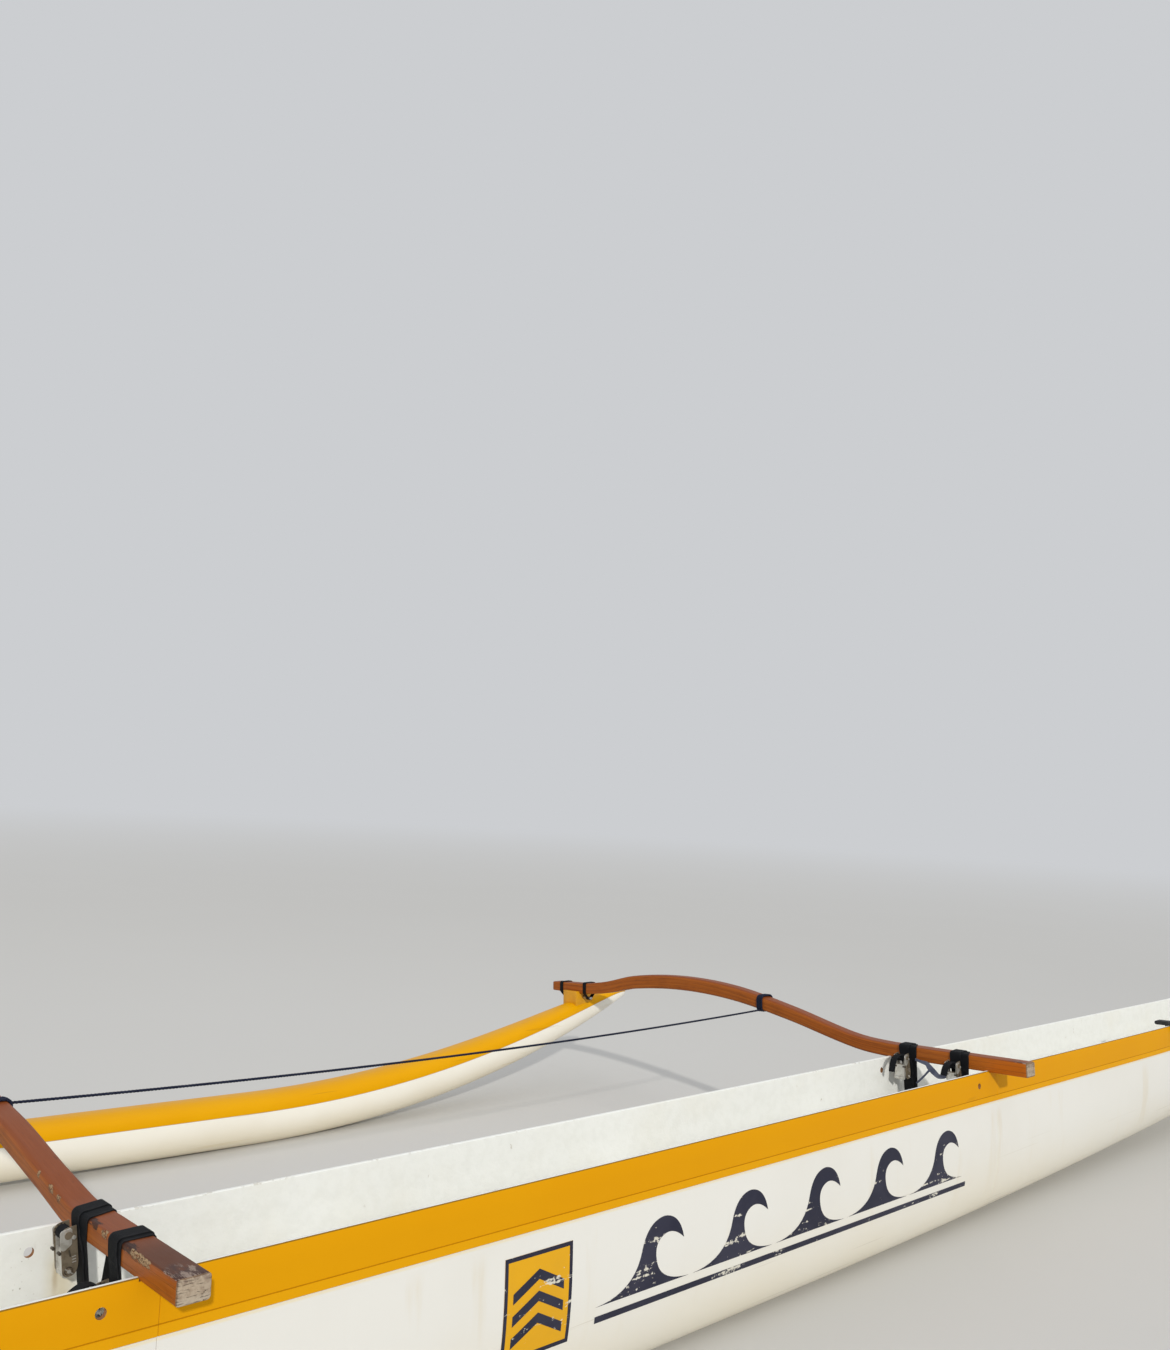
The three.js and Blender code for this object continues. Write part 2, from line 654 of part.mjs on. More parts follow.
// The taut line between the iakos, with a turn round each. Its own weight bows it a little.
const ROPE_SAG = 30;
const ROPE_FROM_IAKO = IAKO_WIDTH / 2 + ROPE_RADIUS;
const ROPE_ENDS = {
  front: { x: IAKO_X - ROPE_FROM_IAKO, z: 116 },
  rear: { x: ROPE_FROM_IAKO - IAKO_X, z: 148 },
};
function iakoLine() {
  const { front, rear } = ROPE_ENDS;
  const path = new THREE.QuadraticBezierCurve3(
    new THREE.Vector3(rear.x, ROPE_Y, rear.z),
    new THREE.Vector3(0, ROPE_Y, (front.z + rear.z) / 2 - 2 * ROPE_SAG),
    new THREE.Vector3(front.x, ROPE_Y, front.z),
  );
  const section = new THREE.Shape().absarc(0, 0, ROPE_RADIUS, 0, 2 * Math.PI);
  let body = solid(new THREE.ExtrudeGeometry(section, { extrudePath: path, steps: 24, curveSegments: 5 }));
  for (const iako of Object.values(IAKOS)) {
    const { thick, z } = iakoAt(iako, ROPE_Y);
    const edge = IAKO_WIDTH / 2 - IAKO_CORNER;
    const half = thick / 2 - IAKO_CORNER;
    const circles = SECTION_CORNERS.map(([sx, sz]) => (
      { x: iako.x + sx * edge, z: z + sz * half, r: IAKO_CORNER }
    ));
    const turn = crossPlate(bandOutline(circles, 2 * ROPE_RADIUS), ROPE_Y, 2 * ROPE_RADIUS);
    body = body.add(solid(turn));
  }
  return geometryOf(body.subtract(iakoCut.front).subtract(iakoCut.rear));
}
add('iako_line', iakoLine(), navy);

// A rubber pad across the starboard gunwale near the bow, slotted over the hull's wall.
const PAD = { x: 3720, width: 60, thick: 20, inboard: 80, outboard: 60, lip: 26, cheek: 12 };
const PAD_RAIL_X = [3400, 4000]; // the gunwale is straight between these stations
function gunwalePad() {
  const { x, width, thick, inboard, outboard, lip, cheek } = PAD;
  const beam = halfBeam(x);
  const top = sheer(x) + GAP;
  const radius = thick / 2;
  const circles = [
    { x: -beam - outboard + radius, z: top + radius, r: radius },
    { x: inboard - beam - radius, z: top + radius, r: radius },
  ];
  const tongue = crossPlate(bandOutline(circles, 0), 0, width, 6).rotateZ(Math.PI / 2).translate(x, 0, 0);
  const lips = box(
    [x - width / 2, x + width / 2],
    [-beam - cheek, HULL_WALL + cheek - beam],
    [top - lip, top + radius],
  );
  const rail = loft(PAD_RAIL_X.map((station) => {
    const outer = -halfBeam(station) - GAP;
    const inner = outer + HULL_WALL + 2 * GAP;
    const [low, high] = [sheer(station) - 3 * lip, sheer(station) + GAP];
    return { x: station, points: [[outer, low], [inner, low], [inner, high], [outer, high]] };
  }));
  return geometryOf(solid(tongue).add(solid(lips)).subtract(solid(rail)));
}
add('gunwale_pad', gunwalePad(), black);

// Lean the rig to port until hull and ama stand equally low.
function lowest(names, lean) {
  const turn = new THREE.Matrix4().makeRotationX(-lean);
  let low = Infinity;
  for (const name of names) {
    const { position } = rig.getObjectByName(name).geometry.attributes;
    const point = new THREE.Vector3();
    for (let i = 0; i < position.count; i += 1) {
      low = Math.min(low, point.fromBufferAttribute(position, i).applyMatrix4(turn).z);
    }
  }
  return low;
}

const LEAN_LIMIT = THREE.MathUtils.degToRad(15);
const LEAN_STEPS = 40;
function restingLean() {
  let [small, large] = [0, LEAN_LIMIT];
  for (let step = 0; step < LEAN_STEPS; step += 1) {
    const lean = (small + large) / 2;
    if (lowest(['ama'], lean) > lowest(['hull_mid_section'], lean)) small = lean;
    else large = lean;
  }
  return (small + large) / 2;
}

rig.rotation.x = -restingLean();

// The origin is on the ground, under the middle of the whole canoe.
const canoe = new THREE.Group();
canoe.add(rig);
canoe.updateMatrixWorld(true);
const bounds = new THREE.Box3().setFromObject(canoe, true);
const middle = bounds.getCenter(new THREE.Vector3());
rig.position.set(-middle.x, -middle.y, -bounds.min.z);
canoe.updateMatrixWorld(true);

export default canoe;
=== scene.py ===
# %% [markdown]
# # A six-seat outrigger canoe
# This lesson finishes one long paddling canoe: a white hull with a yellow band under its gunwale,
# two varnished cross beams (iakos) strapped over it, and a slender float (ama) to port. The CAD
# model comes in as a fixed frame, in metres: +X to the bow, +Y to port, +Z up. Each piece made
# here stands exactly where its CAD solid stands, with the finer shape and finish of the real one.

# %% Load the frame
import bpy
import bmesh
import math
from mathutils import Matrix, Vector


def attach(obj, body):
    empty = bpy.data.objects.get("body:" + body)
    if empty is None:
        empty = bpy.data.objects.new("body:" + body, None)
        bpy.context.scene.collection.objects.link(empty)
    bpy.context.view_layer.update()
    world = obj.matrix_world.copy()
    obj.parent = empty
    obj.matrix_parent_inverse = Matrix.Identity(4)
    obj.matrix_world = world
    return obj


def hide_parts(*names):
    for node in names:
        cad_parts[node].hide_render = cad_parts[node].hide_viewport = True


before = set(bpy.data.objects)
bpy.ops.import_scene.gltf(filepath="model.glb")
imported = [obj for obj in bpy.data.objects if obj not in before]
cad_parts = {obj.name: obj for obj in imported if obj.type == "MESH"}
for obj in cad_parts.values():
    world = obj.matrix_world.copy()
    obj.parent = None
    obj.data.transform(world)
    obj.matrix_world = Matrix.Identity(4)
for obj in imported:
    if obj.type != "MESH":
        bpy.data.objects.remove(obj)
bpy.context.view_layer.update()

# %% [markdown]
# ## From the boat's own lines to the beach
# A boatbuilder draws a hull upright, from its gunwale down. The finished canoe leans a little to
# port, because the float sits lower than the beams would hold it level. So everything below is
# drawn upright in the boat's own axes, and one matrix, the CAD model's own, sets it on the ground.

# %% The lean
LEAN = math.radians(4.2792)
RIG_PLACE = Vector((-0.1, -1.055364, 0.623626))
TO_GROUND = Matrix.Translation(RIG_PLACE) @ Matrix.Rotation(-LEAN, 4, "X")
print("the boat's own origin stands", [round(c, 3) for c in TO_GROUND.translation])


def stand(mesh):
    """Set a mesh drawn upright on the ground. Nothing sinks below it."""
    mesh.transform(TO_GROUND)
    for vertex in mesh.vertices:
        vertex.co.z = max(vertex.co.z, 0.0)


def around(x, z, radius, angle):
    """The point of a circle at an angle."""
    return (x + radius * math.cos(angle), z + radius * math.sin(angle))


def circle(x, z, radius, sides):
    """Points round a circle, the first one straight ahead."""
    return [around(x, z, radius, 2 * math.pi * i / sides) for i in range(sides)]


def walls(rings, count, clockwise=False):
    """Faces that join rings of count points each, one ring to the next."""
    faces = []
    for start in range(0, (rings - 1) * count, count):
        for i in range(count):
            a, b = start + i, start + (i + 1) % count
            faces.append((a, a + count, b + count, b) if clockwise else (a, b, b + count, a + count))
    return faces


def tube(rings, count, clockwise=False):
    """The same with a flat face at each end, last in the list."""
    first, last = tuple(range(count)), tuple(range((rings - 1) * count, rings * count))
    ends = [first, last[::-1]] if clockwise else [first[::-1], last]
    return walls(rings, count, clockwise) + ends


# %% Make a mesh, and set a finished piece in its place
def show(name, mesh):
    piece = bpy.data.objects.new(name, mesh)
    bpy.context.scene.collection.objects.link(piece)
    return piece


def build(name, points, faces, finishes, face_finish=None, uv=None, smooth=35):
    """A piece from points and faces, with one finish or several, shaded smooth below an angle."""
    mesh = bpy.data.meshes.new(name)
    mesh.from_pydata([tuple(p) for p in points], [], faces)
    for finish in finishes:
        mesh.materials.append(finish)
    if face_finish:
        mesh.polygons.foreach_set("material_index", face_finish)
    if uv:
        layer = mesh.uv_layers.new(name="surface")
        for loop in mesh.loops:
            layer.data[loop.index].uv = uv[loop.vertex_index]
    mesh.shade_smooth()
    mesh.set_sharp_from_angle(angle=math.radians(smooth))
    return show(name, mesh)


def faced_outward(piece):
    edit = bmesh.new()
    edit.from_mesh(piece.data)
    bmesh.ops.recalc_face_normals(edit, faces=edit.faces)
    edit.to_mesh(piece.data)
    edit.free()
    return piece


def worked_out(piece):
    """The plain mesh that a piece's modifiers make."""
    bpy.context.view_layer.update()
    return bpy.data.meshes.new_from_object(piece.evaluated_get(bpy.context.evaluated_depsgraph_get()))


def finished(piece, slot, *nodes, upright=True):
    """Stand an upright piece on the ground, let it ride on the canoe and take its CAD solids' place."""
    if upright:
        stand(piece.data)
        piece.data.update()
    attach(piece, "root")
    if nodes:
        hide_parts(*nodes)
    print(piece.name, len(piece.data.polygons), "faces")
    return piece


# %% [markdown]
# ## The camera
# The camera stands off the starboard quarter, a little behind the rear beam, and is held level.
# Its right, down and ahead directions are given in the boat's axes. They were found by fitting
# known points of the canoe to the picture, which is surer than turning the camera by eye.

# %% The camera
CAMERA_PLACE = Vector((-2.77653, -2.64455, 0.86511))
CAMERA_RIGHT = Vector((0.736342, -0.676576, 0.006683))
CAMERA_DOWN = Vector((0.113815, 0.114120, -0.986926))
CAMERA_AHEAD = Vector((0.666968, 0.727476, 0.161036))
SENSOR = 36
FOCAL_LENGTH, PICTURE_HEIGHT = 1108.61, 1350  # both in pixels of the picture
camera_data = bpy.data.cameras.new("camera")
camera_data.sensor_width = SENSOR
camera_data.lens = FOCAL_LENGTH / PICTURE_HEIGHT * SENSOR
camera_data.clip_start, camera_data.clip_end = 0.05, 500
camera = bpy.data.objects.new("camera", camera_data)
bpy.context.scene.collection.objects.link(camera)
axes = Matrix((CAMERA_RIGHT, -CAMERA_DOWN, -CAMERA_AHEAD)).transposed().to_4x4()
camera.matrix_world = TO_GROUND @ Matrix.Translation(CAMERA_PLACE) @ axes
bpy.context.scene.camera = camera
print("camera", [round(c, 3) for c in camera.matrix_world.translation])

# %% [markdown]
# ## Finishes from arithmetic
# A procedural finish is a sum worked out for each point of a surface. Wiring it node by node is
# slow to read, so Amount wraps a node's output and turns +, -, * and a few named operations into
# Math nodes. The same class works in a material and in a Geometry Nodes tree.

# %% Amount: numbers that Blender works out point by point
class Amount:
    def __init__(self, tree, socket):
        self.tree, self.socket = tree, socket

    def calculate(self, operation, *others, flip=False):
        node = self.tree.nodes.new("ShaderNodeMath")
        node.operation = operation
        terms = (self, *others)
        for i, term in enumerate(reversed(terms) if flip else terms):
            if isinstance(term, Amount):
                self.tree.links.new(term.socket, node.inputs[i])
            else:
                node.inputs[i].default_value = term
        return Amount(self.tree, node.outputs[0])

    def __add__(self, other): return self.calculate("ADD", other)
    def __radd__(self, other): return self.calculate("ADD", other)
    def __sub__(self, other): return self.calculate("SUBTRACT", other)
    def __rsub__(self, other): return self.calculate("SUBTRACT", other, flip=True)
    def __mul__(self, other): return self.calculate("MULTIPLY", other)
    def __truediv__(self, other): return self.calculate("DIVIDE", other)
    def __pow__(self, other): return self.calculate("POWER", other)
    def __abs__(self): return self.calculate("ABSOLUTE")
    def sine(self): return self.calculate("SINE")
    def at_least(self, other): return self.calculate("MAXIMUM", other)
    def at_most(self, other): return self.calculate("MINIMUM", other)

    def rises(self, low, high, start=0.0, end=1.0):
        """start below low, end above high, and an eased slope between them."""
        node = self.tree.nodes.new("ShaderNodeMapRange")
        node.interpolation_type = "SMOOTHSTEP"
        self.tree.links.new(self.socket, node.inputs["Value"])
        for name, value in (("From Min", low), ("From Max", high), ("To Min", start), ("To Max", end)):
            node.inputs[name].default_value = value
        return Amount(self.tree, node.outputs["Result"])

    def falls(self, low, high):
        return self.rises(low, high, 1.0, 0.0)

    def near(self, middle, width):
        """1 at middle, easing to 0 at a distance of width."""
        return abs(self - middle).falls(0, width)

    def within(self, low, high, ease):
        return self.rises(low - ease, low) * self.falls(high, high + ease)


def rgb(red, green, blue):
    """A colour as a paint card gives it, 0 to 255, in Blender's linear light."""
    shares = [c / 255 for c in (red, green, blue)]
    return (*(c / 12.92 if c < 0.04045 else ((c + 0.055) / 1.055) ** 2.4 for c in shares), 1.0)


# %% Finish: a material that is put together in layers
class Finish:
    def __init__(self, name, **constants):
        self.material = bpy.data.materials.new(name)
        self.material.use_nodes = True
        self.tree = self.material.node_tree
        self.shader = self.tree.nodes["Principled BSDF"]
        for socket, value in constants.items():
            self.shader.inputs[socket.replace("_", " ")].default_value = value

    def output(self, kind, socket, **settings):
        node = self.tree.nodes.new(kind)
        for key, value in settings.items():
            setattr(node, key, value)
        return node.outputs[socket]

    def place(self):
        return self.output("ShaderNodeTexCoord", "Object")

    def named(self, attribute):
        return self.output("ShaderNodeAttribute", "Vector", attribute_name=attribute)

    def parts(self, vector):
        node = self.tree.nodes.new("ShaderNodeSeparateXYZ")
        self.tree.links.new(vector, node.inputs[0])
        return [Amount(self.tree, socket) for socket in node.outputs]

    def vector(self, *amounts):
        node = self.tree.nodes.new("ShaderNodeCombineXYZ")
        for amount, socket in zip(amounts, node.inputs):
            self.tree.links.new(amount.socket, socket)
        return node.outputs[0]

    def scaled(self, kind, scale, vector):
        """A node of that kind with a scale, read at the piece's own place unless a vector is given."""
        node = self.tree.nodes.new(kind)
        self.tree.links.new(vector or self.place(), node.inputs["Vector"])
        node.inputs["Scale"].default_value = scale
        return node

    def noise(self, scale, detail=3, roughness=0.55, vector=None, stretch=None):
        if stretch:
            vector = self.scaled("ShaderNodeMapping", stretch, vector).outputs[0]
        node = self.scaled("ShaderNodeTexNoise", scale, vector)
        node.inputs["Detail"].default_value = detail
        node.inputs["Roughness"].default_value = roughness
        return Amount(self.tree, node.outputs["Fac"])

    def spots(self, scale):
        """Distance from the nearest of many scattered points."""
        return Amount(self.tree, self.scaled("ShaderNodeTexVoronoi", scale, None).outputs["Distance"])

    def mix(self, amount, under, over):
        node = self.tree.nodes.new("ShaderNodeMix")
        node.data_type = "RGBA"
        self.tree.links.new(amount.socket, node.inputs["Factor"])
        for socket, colour in (("A", under), ("B", over)):
            target = next(s for s in node.inputs if s.name == socket and s.type == "RGBA")
            if isinstance(colour, tuple):
                target.default_value = colour
            else:
                self.tree.links.new(colour, target)
        return next(s for s in node.outputs if s.type == "RGBA")

    def layers(self, base, *coats):
        """A base colour with coats (amount, colour) over it, the last on top."""
        colour = base
        for amount, coat in coats:
            colour = self.mix(amount, colour, coat)
        self.tree.links.new(colour, self.shader.inputs["Base Color"])

    def drive(self, socket, amount):
        self.tree.links.new(amount.socket, self.shader.inputs[socket])

    def bump(self, height, depth, strength):
        node = self.tree.nodes.new("ShaderNodeBump")
        node.inputs["Distance"].default_value = depth
        node.inputs["Strength"].default_value = strength
        self.tree.links.new(height.socket, node.inputs["Height"])
        self.tree.links.new(node.outputs["Normal"], self.shader.inputs["Normal"])


# %% [markdown]
# ## The studio
# The canoe is shown on a plain pale floor under soft light. One broad low sun stands off the
# starboard quarter, where the daylight came from, so that the beam ends throw their short shadows
# on the yellow band, and a pale sky fills the rest. A picture of a real sky could light it too, but
# it would tint the white hull. The floor fades into the sky far away, so no horizon line crosses
# the picture.

# %% Floor, sky and lights
SKY = rgb(204, 206, 209)
floor_finish = Finish("pale floor", Roughness=0.9, Specular_IOR_Level=0.2)
floor_x, floor_y, _ = floor_finish.parts(floor_finish.place())
far_away = ((floor_x * floor_x + floor_y * floor_y) ** 0.5).rises(7, 46)
floor_finish.layers(rgb(208, 207, 204), (floor_finish.noise(0.5, 5) * 0.25, rgb(200, 198, 194)))
glow = floor_finish.tree.nodes.new("ShaderNodeEmission")
glow.inputs["Color"].default_value = SKY
fade = floor_finish.tree.nodes.new("ShaderNodeMixShader")
link = floor_finish.tree.links.new
link(far_away.socket, fade.inputs[0])
link(floor_finish.shader.outputs[0], fade.inputs[1])
link(glow.outputs[0], fade.inputs[2])
link(fade.outputs[0], floor_finish.tree.nodes["Material Output"].inputs[0])

FLOOR_RADIUS = 240
FLOOR_SIDES = 96
rim = [(x, y, 0) for x, y in circle(0, 0, FLOOR_RADIUS, FLOOR_SIDES)]
floor = build("floor", rim, [tuple(range(FLOOR_SIDES))], [floor_finish.material])

world = bpy.data.worlds.new("sky")
bpy.context.scene.world = world
world.use_nodes = True
world.node_tree.nodes["Background"].inputs["Color"].default_value = SKY
world.node_tree.nodes["Background"].inputs["Strength"].default_value = 1.0
bpy.context.scene.view_settings.view_transform = "Standard"


def lamp(name, kind, aim_from, aim_at, power, size, colour):
    """A light. Its size is metres for an area and degrees for a sun."""
    data = bpy.data.lights.new(name, kind)
    data.energy, data.color = power, colour
    if kind == "AREA":
        data.shape, data.size, data.size_y = "RECTANGLE", size[0], size[1]
    else:
        data.angle = math.radians(size)
    light = bpy.data.objects.new(name, data)
    light.location = aim_from
    light.rotation_euler = (Vector(aim_at) - Vector(aim_from)).to_track_quat("-Z", "Y").to_euler()
    bpy.context.scene.collection.objects.link(light)


lamp("low sun", "SUN", (-5.3, -10, 5.5), (0, 0, 0), power=1.65, size=1.6,
     colour=(1.0, 0.965, 0.90))
lamp("overhead softbox", "AREA", (1, -1, 7.5), (0, -1, 0), power=90, size=(12, 5),
     colour=(0.97, 0.985, 1.0))

# %% [markdown]
# ## The hull's lines
# The hull is a long trough of glass-fibre laminate. Three curves say all of its shape: the sheer
# (the gunwale's height), the half beam (its breadth) and the keel. Each section between them is a
# superellipse, which is an ellipse with its power raised, boxier amidships and rounder towards the
# ends. The same formulas made the CAD model. Here they are read at many more stations.

# %% Sheer, half beam, keel and the power of each section
HALF_BEAM = 0.2375
BAND = 0.124
BAND_LAP = 0.005
WALL = 0.014
BOW = dict(side=1, tip=6.9, shell_end=6.4, deck_start=5.05, taper=3.4, rise=0.150, power=6)
STERN = dict(side=-1, tip=6.7, shell_end=6.2, deck_start=4.5, taper=3.5, rise=0.165, power=4)


def end_at(x):
    return BOW if x >= 0 else STERN


def clamp(value, low=0.0, high=1.0):
    return min(high, max(low, value))


def sheer(x):
    end = end_at(x)
    return -0.004 * x + end["rise"] * (abs(x) / end["tip"]) ** end["power"]


def half_beam(x):
    end = end_at(x)
    along = clamp((abs(x) - end["taper"]) / (end["tip"] - end["taper"]))
    return max(0.011, HALF_BEAM * (1 - along ** 2.1))


def keel(x):
    end = end_at(x)
    run = max(0.0, abs(x) - 0.3)
    stem = clamp((abs(x) - end["shell_end"]) / (end["tip"] - end["shell_end"]))
    low = 0.0065 * run ** 1.9 - 0.624
    return low + (sheer(x) - 0.045 - low) * stem ** 3


def section_power(x):
    return 3 - 0.9 * clamp((abs(x) - 1.5) / 5)


print("sheer at the tips", round(sheer(6.9), 3), round(sheer(-6.7), 3), "keel amidships", keel(0))

# %% [markdown]
# ## Gelcoat finishes
# Gelcoat is the coloured resin skin of a glass-fibre boat. Outside it is glossy and smooth, with
# the cream tint, faint scuffs and fine scratches that years of beaches leave, most of them low
# down. Inside it is painted flatter and mottled. Every hull point carries two numbers: how far
# along the boat it is, and how far below the gunwale, so dirt and stripes can follow the boat.
# A painted image could carry them too, but noise stays sharp close up and needs no unwrapping.

# %% White gelcoat, outside
def hull_white():
    skin = Finish("white gelcoat", Specular_IOR_Level=0.3, Coat_Weight=0.08, Coat_Roughness=0.12)
    _, depth, _ = skin.parts(skin.named("surface"))
    cloudy = skin.noise(1.6, 5)
    fine = skin.noise(38, 4)
    low = (depth + cloudy * 0.22 - 0.11).rises(0.26, 0.66)
    under_band = depth.near(0.130, 0.006)
    drips = skin.noise(9, 4, stretch=(1, 1, 0.12)).rises(0.56, 0.72)
    drips = drips * depth.rises(0.13, 0.2) * depth.falls(0.3, 0.55)
    scratches = skin.noise(26, 2, stretch=(0.035, 1, 2.4)).rises(0.66, 0.70) * depth.rises(0.24, 0.5)
    specks = skin.spots(34).falls(0.05, 0.11) * fine.rises(0.6, 0.75) * depth.rises(0.3, 0.6)
    skin.layers(
        rgb(230, 229, 223),
        (cloudy.rises(0.42, 0.7) * 0.5, rgb(224, 222, 214)),
        (low * 0.62, rgb(236, 226, 200)),
        (drips * 0.30, rgb(214, 200, 168)),
        (under_band * 0.55, rgb(238, 219, 170)),
        (scratches * 0.5, rgb(196, 188, 170)),
        (specks * 0.7, rgb(120, 104, 82)),
    )
    skin.drive("Roughness", 0.27 + low * 0.16 + fine * 0.08)
    skin.bump(skin.noise(2.2, 2) + fine * 0.015 - scratches * 0.02, 0.006, 0.35)
    return skin.material


# %% Yellow gelcoat of the band
def band_yellow():
    skin = Finish("yellow gelcoat", Specular_IOR_Level=0.08)
    _, depth, _ = skin.parts(skin.named("surface"))
    cloudy = skin.noise(2.4, 5)
    edge = depth.falls(0.0015, 0.0036)
    # The dark line along the groove is painted shade, laid over the shading that the real 1.6 mm groove gets
    # from the lights.
    painted_groove_shade = depth.near(0.1010, 0.0022)
    strip = depth.rises(0.102, 0.104)
    rubbed = skin.noise(30, 4, stretch=(0.12, 1, 1)).rises(0.64, 0.74) * depth.rises(0.112, 0.121)
    scuffs = skin.noise(17, 5, stretch=(0.3, 1, 1)).rises(0.67, 0.74)
    skin.layers(
        rgb(219, 152, 0),
        (cloudy.rises(0.35, 0.7) * 0.35, rgb(223, 160, 4)),
        (strip * 0.35, rgb(231, 170, 14)),
        (scuffs * 0.30, rgb(190, 130, 6)),
        (rubbed * 0.5, rgb(238, 200, 110)),
        (painted_groove_shade * 0.45, rgb(130, 84, 4)),
        (edge * 0.75, rgb(92, 74, 34)),
    )
    skin.drive("Roughness", 0.46 + cloudy * 0.12)
    skin.bump(skin.noise(3, 2) + scuffs * 0.03, 0.004, 0.3)
    return skin.material


# %% Flat white paint inside, and the laminate where it is cut
def inside_white():
    skin = Finish("white inside paint")
    along, depth, _ = skin.parts(skin.named("surface"))
    mottle = skin.noise(30, 5)
    broad = skin.noise(3.0, 4)
    scuffs = skin.noise(60, 4, stretch=(0.5, 1, 0.25)).rises(0.68, 0.73)
    scuffs = scuffs * skin.noise(4, 3).rises(0.5, 0.62)
    stain = along.near(-1.79, 0.055) * (depth + mottle * 0.05).rises(0.06, 0.12) * depth.falls(0.2, 0.3)
    drip = (along + mottle * 0.008 - 0.004).near(-1.806, 0.010)
    drip = drip * depth.rises(0.075, 0.09) * depth.falls(0.12, 0.17)
    dots = skin.spots(90).falls(0.12, 0.2) * along.near(-1.87, 0.05) * depth.within(0.05, 0.13, 0.02)
    rim_dirt = skin.noise(7, 4).rises(0.52, 0.66) * skin.noise(60, 3).rises(0.5, 0.6)
    rim_dirt = rim_dirt * depth.falls(0.002, 0.005)
    skin.layers(
        rgb(242, 243, 239),
        (mottle.rises(0.4, 0.66) * 0.5, rgb(234, 235, 230)),
        (broad.rises(0.45, 0.75) * 0.4, rgb(236, 233, 221)),
        (stain * 0.55, rgb(214, 196, 146)),
        (drip * 0.45, rgb(170, 140, 84)),
        (dots * mottle.rises(0.45, 0.55) * 0.7, rgb(120, 100, 70)),
        (rim_dirt * 0.35, rgb(160, 148, 124)),
        (scuffs * 0.65, rgb(150, 124, 92)),
        (depth.rises(0.36, 0.60) * 0.4, rgb(196, 184, 156)),
    )
    skin.drive("Roughness", 0.5 + mottle * 0.15)
    skin.bump(mottle * 0.5 + skin.noise(120, 3) * 0.3 + skin.noise(4, 2), 0.0035, 0.5)
    return skin.material


def laminate():
    skin = Finish("bare laminate")
    skin.layers(rgb(150, 98, 52), (skin.noise(220, 4).rises(0.45, 0.6) * 0.6, rgb(196, 150, 96)))
    skin.drive("Roughness", 0.6 + skin.noise(80) * 0.2)
    return skin.material


WHITE, YELLOW, INSIDE, LAMINATE = hull_white(), band_yellow(), inside_white(), laminate()
print("finishes", [finish.name for finish in (WHITE, YELLOW, INSIDE, LAMINATE)])

# %% [markdown]
# ## The hull, in three lengths
# A canoe of this class is moulded in three lengths that bolt together under the beams, and the
# fine dark lines where they meet show in the band. Each length is lofted: closed rings of points
# are joined along the boat. A ring runs from the keel up the outside, over the rounded gunwale
# and down the inside, so the wall has its real 14 mm and the edges their real rounding. The band
# is a moulding that stands 5 mm out, with a groove along its lower part. A Solidify modifier could
# thicken a plain skin, but it would lose the groove and the rounded gunwale, so rings are used.

# %% One ring of the hull, with its depth and finish at each point
LOWER_STEPS = 26
OUTER, BANDED, INNER, CUT = range(4)  # the finish of a face
# Up the band: how far inside its face, and how far below the gunwale. The groove is near 0.101.
BAND_PROFILE = [(0.0012, 0.1242), (0, 0.1228), (0, 0.1026), (0.0016, 0.1014), (0.0016, 0.1006),
                (0, 0.0994), (0, 0.05), (0, 0.0032), (0.0008, 0.0013), (0.0026, 0.0002)]
# Over the gunwale: share of the wall crossed, and how far below its top.
GUNWALE_PROFILE = [(0.3, 0.0), (0.7, 0.0), (0.9, 0.0006), (1.0, 0.0028)]


def below_band(beam, start, bottom, power):
    """Points (breadth, height) of a section from the keel to the band, closer at both ends."""
    points = []
    for i in range(LOWER_STEPS + 1):
        share = i / LOWER_STEPS
        eased = share ** 1.5 / (share ** 1.5 + (1 - share) ** 1.5)
        angle = (1 - eased) * math.pi / 2
        y = beam * max(0.0, math.cos(angle)) ** (2 / power)
        points.append((y if i else 0.0, start - (start - bottom) * math.sin(angle) ** (2 / power)))
    return points


def half_ring(x):
    """Points (breadth, height, depth below the gunwale, finish), keel outside to keel inside."""
    beam, top, bottom, power = half_beam(x), sheer(x), keel(x), section_power(x)
    band = min(BAND, 0.45 * (top - bottom))
    lap = min(BAND_LAP, 0.3 * beam)
    wall = min(WALL, 0.6 * beam)
    start = top - band - lap / 2
    size = band / BAND
    points = [(y, z, top - z, OUTER) for y, z in below_band(beam - lap, start, bottom, power)]
    points += [(beam - inset, top - depth * size, depth * size, BANDED) for inset, depth in BAND_PROFILE]
    points += [(beam - wall * share, top - depth, depth, INNER) for share, depth in GUNWALE_PROFILE]
    points += [(beam - wall, top - band * share, band * share, INNER) for share in (0.3, 0.6, 0.85)]
    inside = below_band(beam - wall - lap * 0.6, start, bottom + wall, power)
    return points + [(y, z, top - z, INNER) for y, z in reversed(inside)]


def whole_ring(x):
    half = half_ring(x)
    return half + [(-y, z, depth, finish) for y, z, depth, finish in reversed(half[1:-1])]


def stations(start, end, pitch=0.05):
    count = max(2, round(abs(end - start) / pitch))
    return [start + (end - start) * i / count for i in range(count + 1)]


print("points in a ring", len(whole_ring(0.0)))

# %% Loft the three lengths
EDGE = 0.0011


def drawn_in(outline, inwards):
    """An anticlockwise outline, every point moved inwards."""
    inner = []
    for i, (x, z) in enumerate(outline):
        (x0, z0), (x1, z1) = outline[i - 1], outline[(i + 1) % len(outline)]
        dx, dz = x1 - x0, z1 - z0
        length = math.hypot(dx, dz) or 1.0
        inner.append((x - dz / length * inwards, z + dx / length * inwards))
    return inner


def chamfered(x):
    """The ring at a cut end, drawn in by the small rounding of its edge."""
    ring = whole_ring(x)
    inner = drawn_in([point[:2] for point in ring], EDGE)
    return [(*place, *point[2:]) for place, point in zip(inner, ring)]


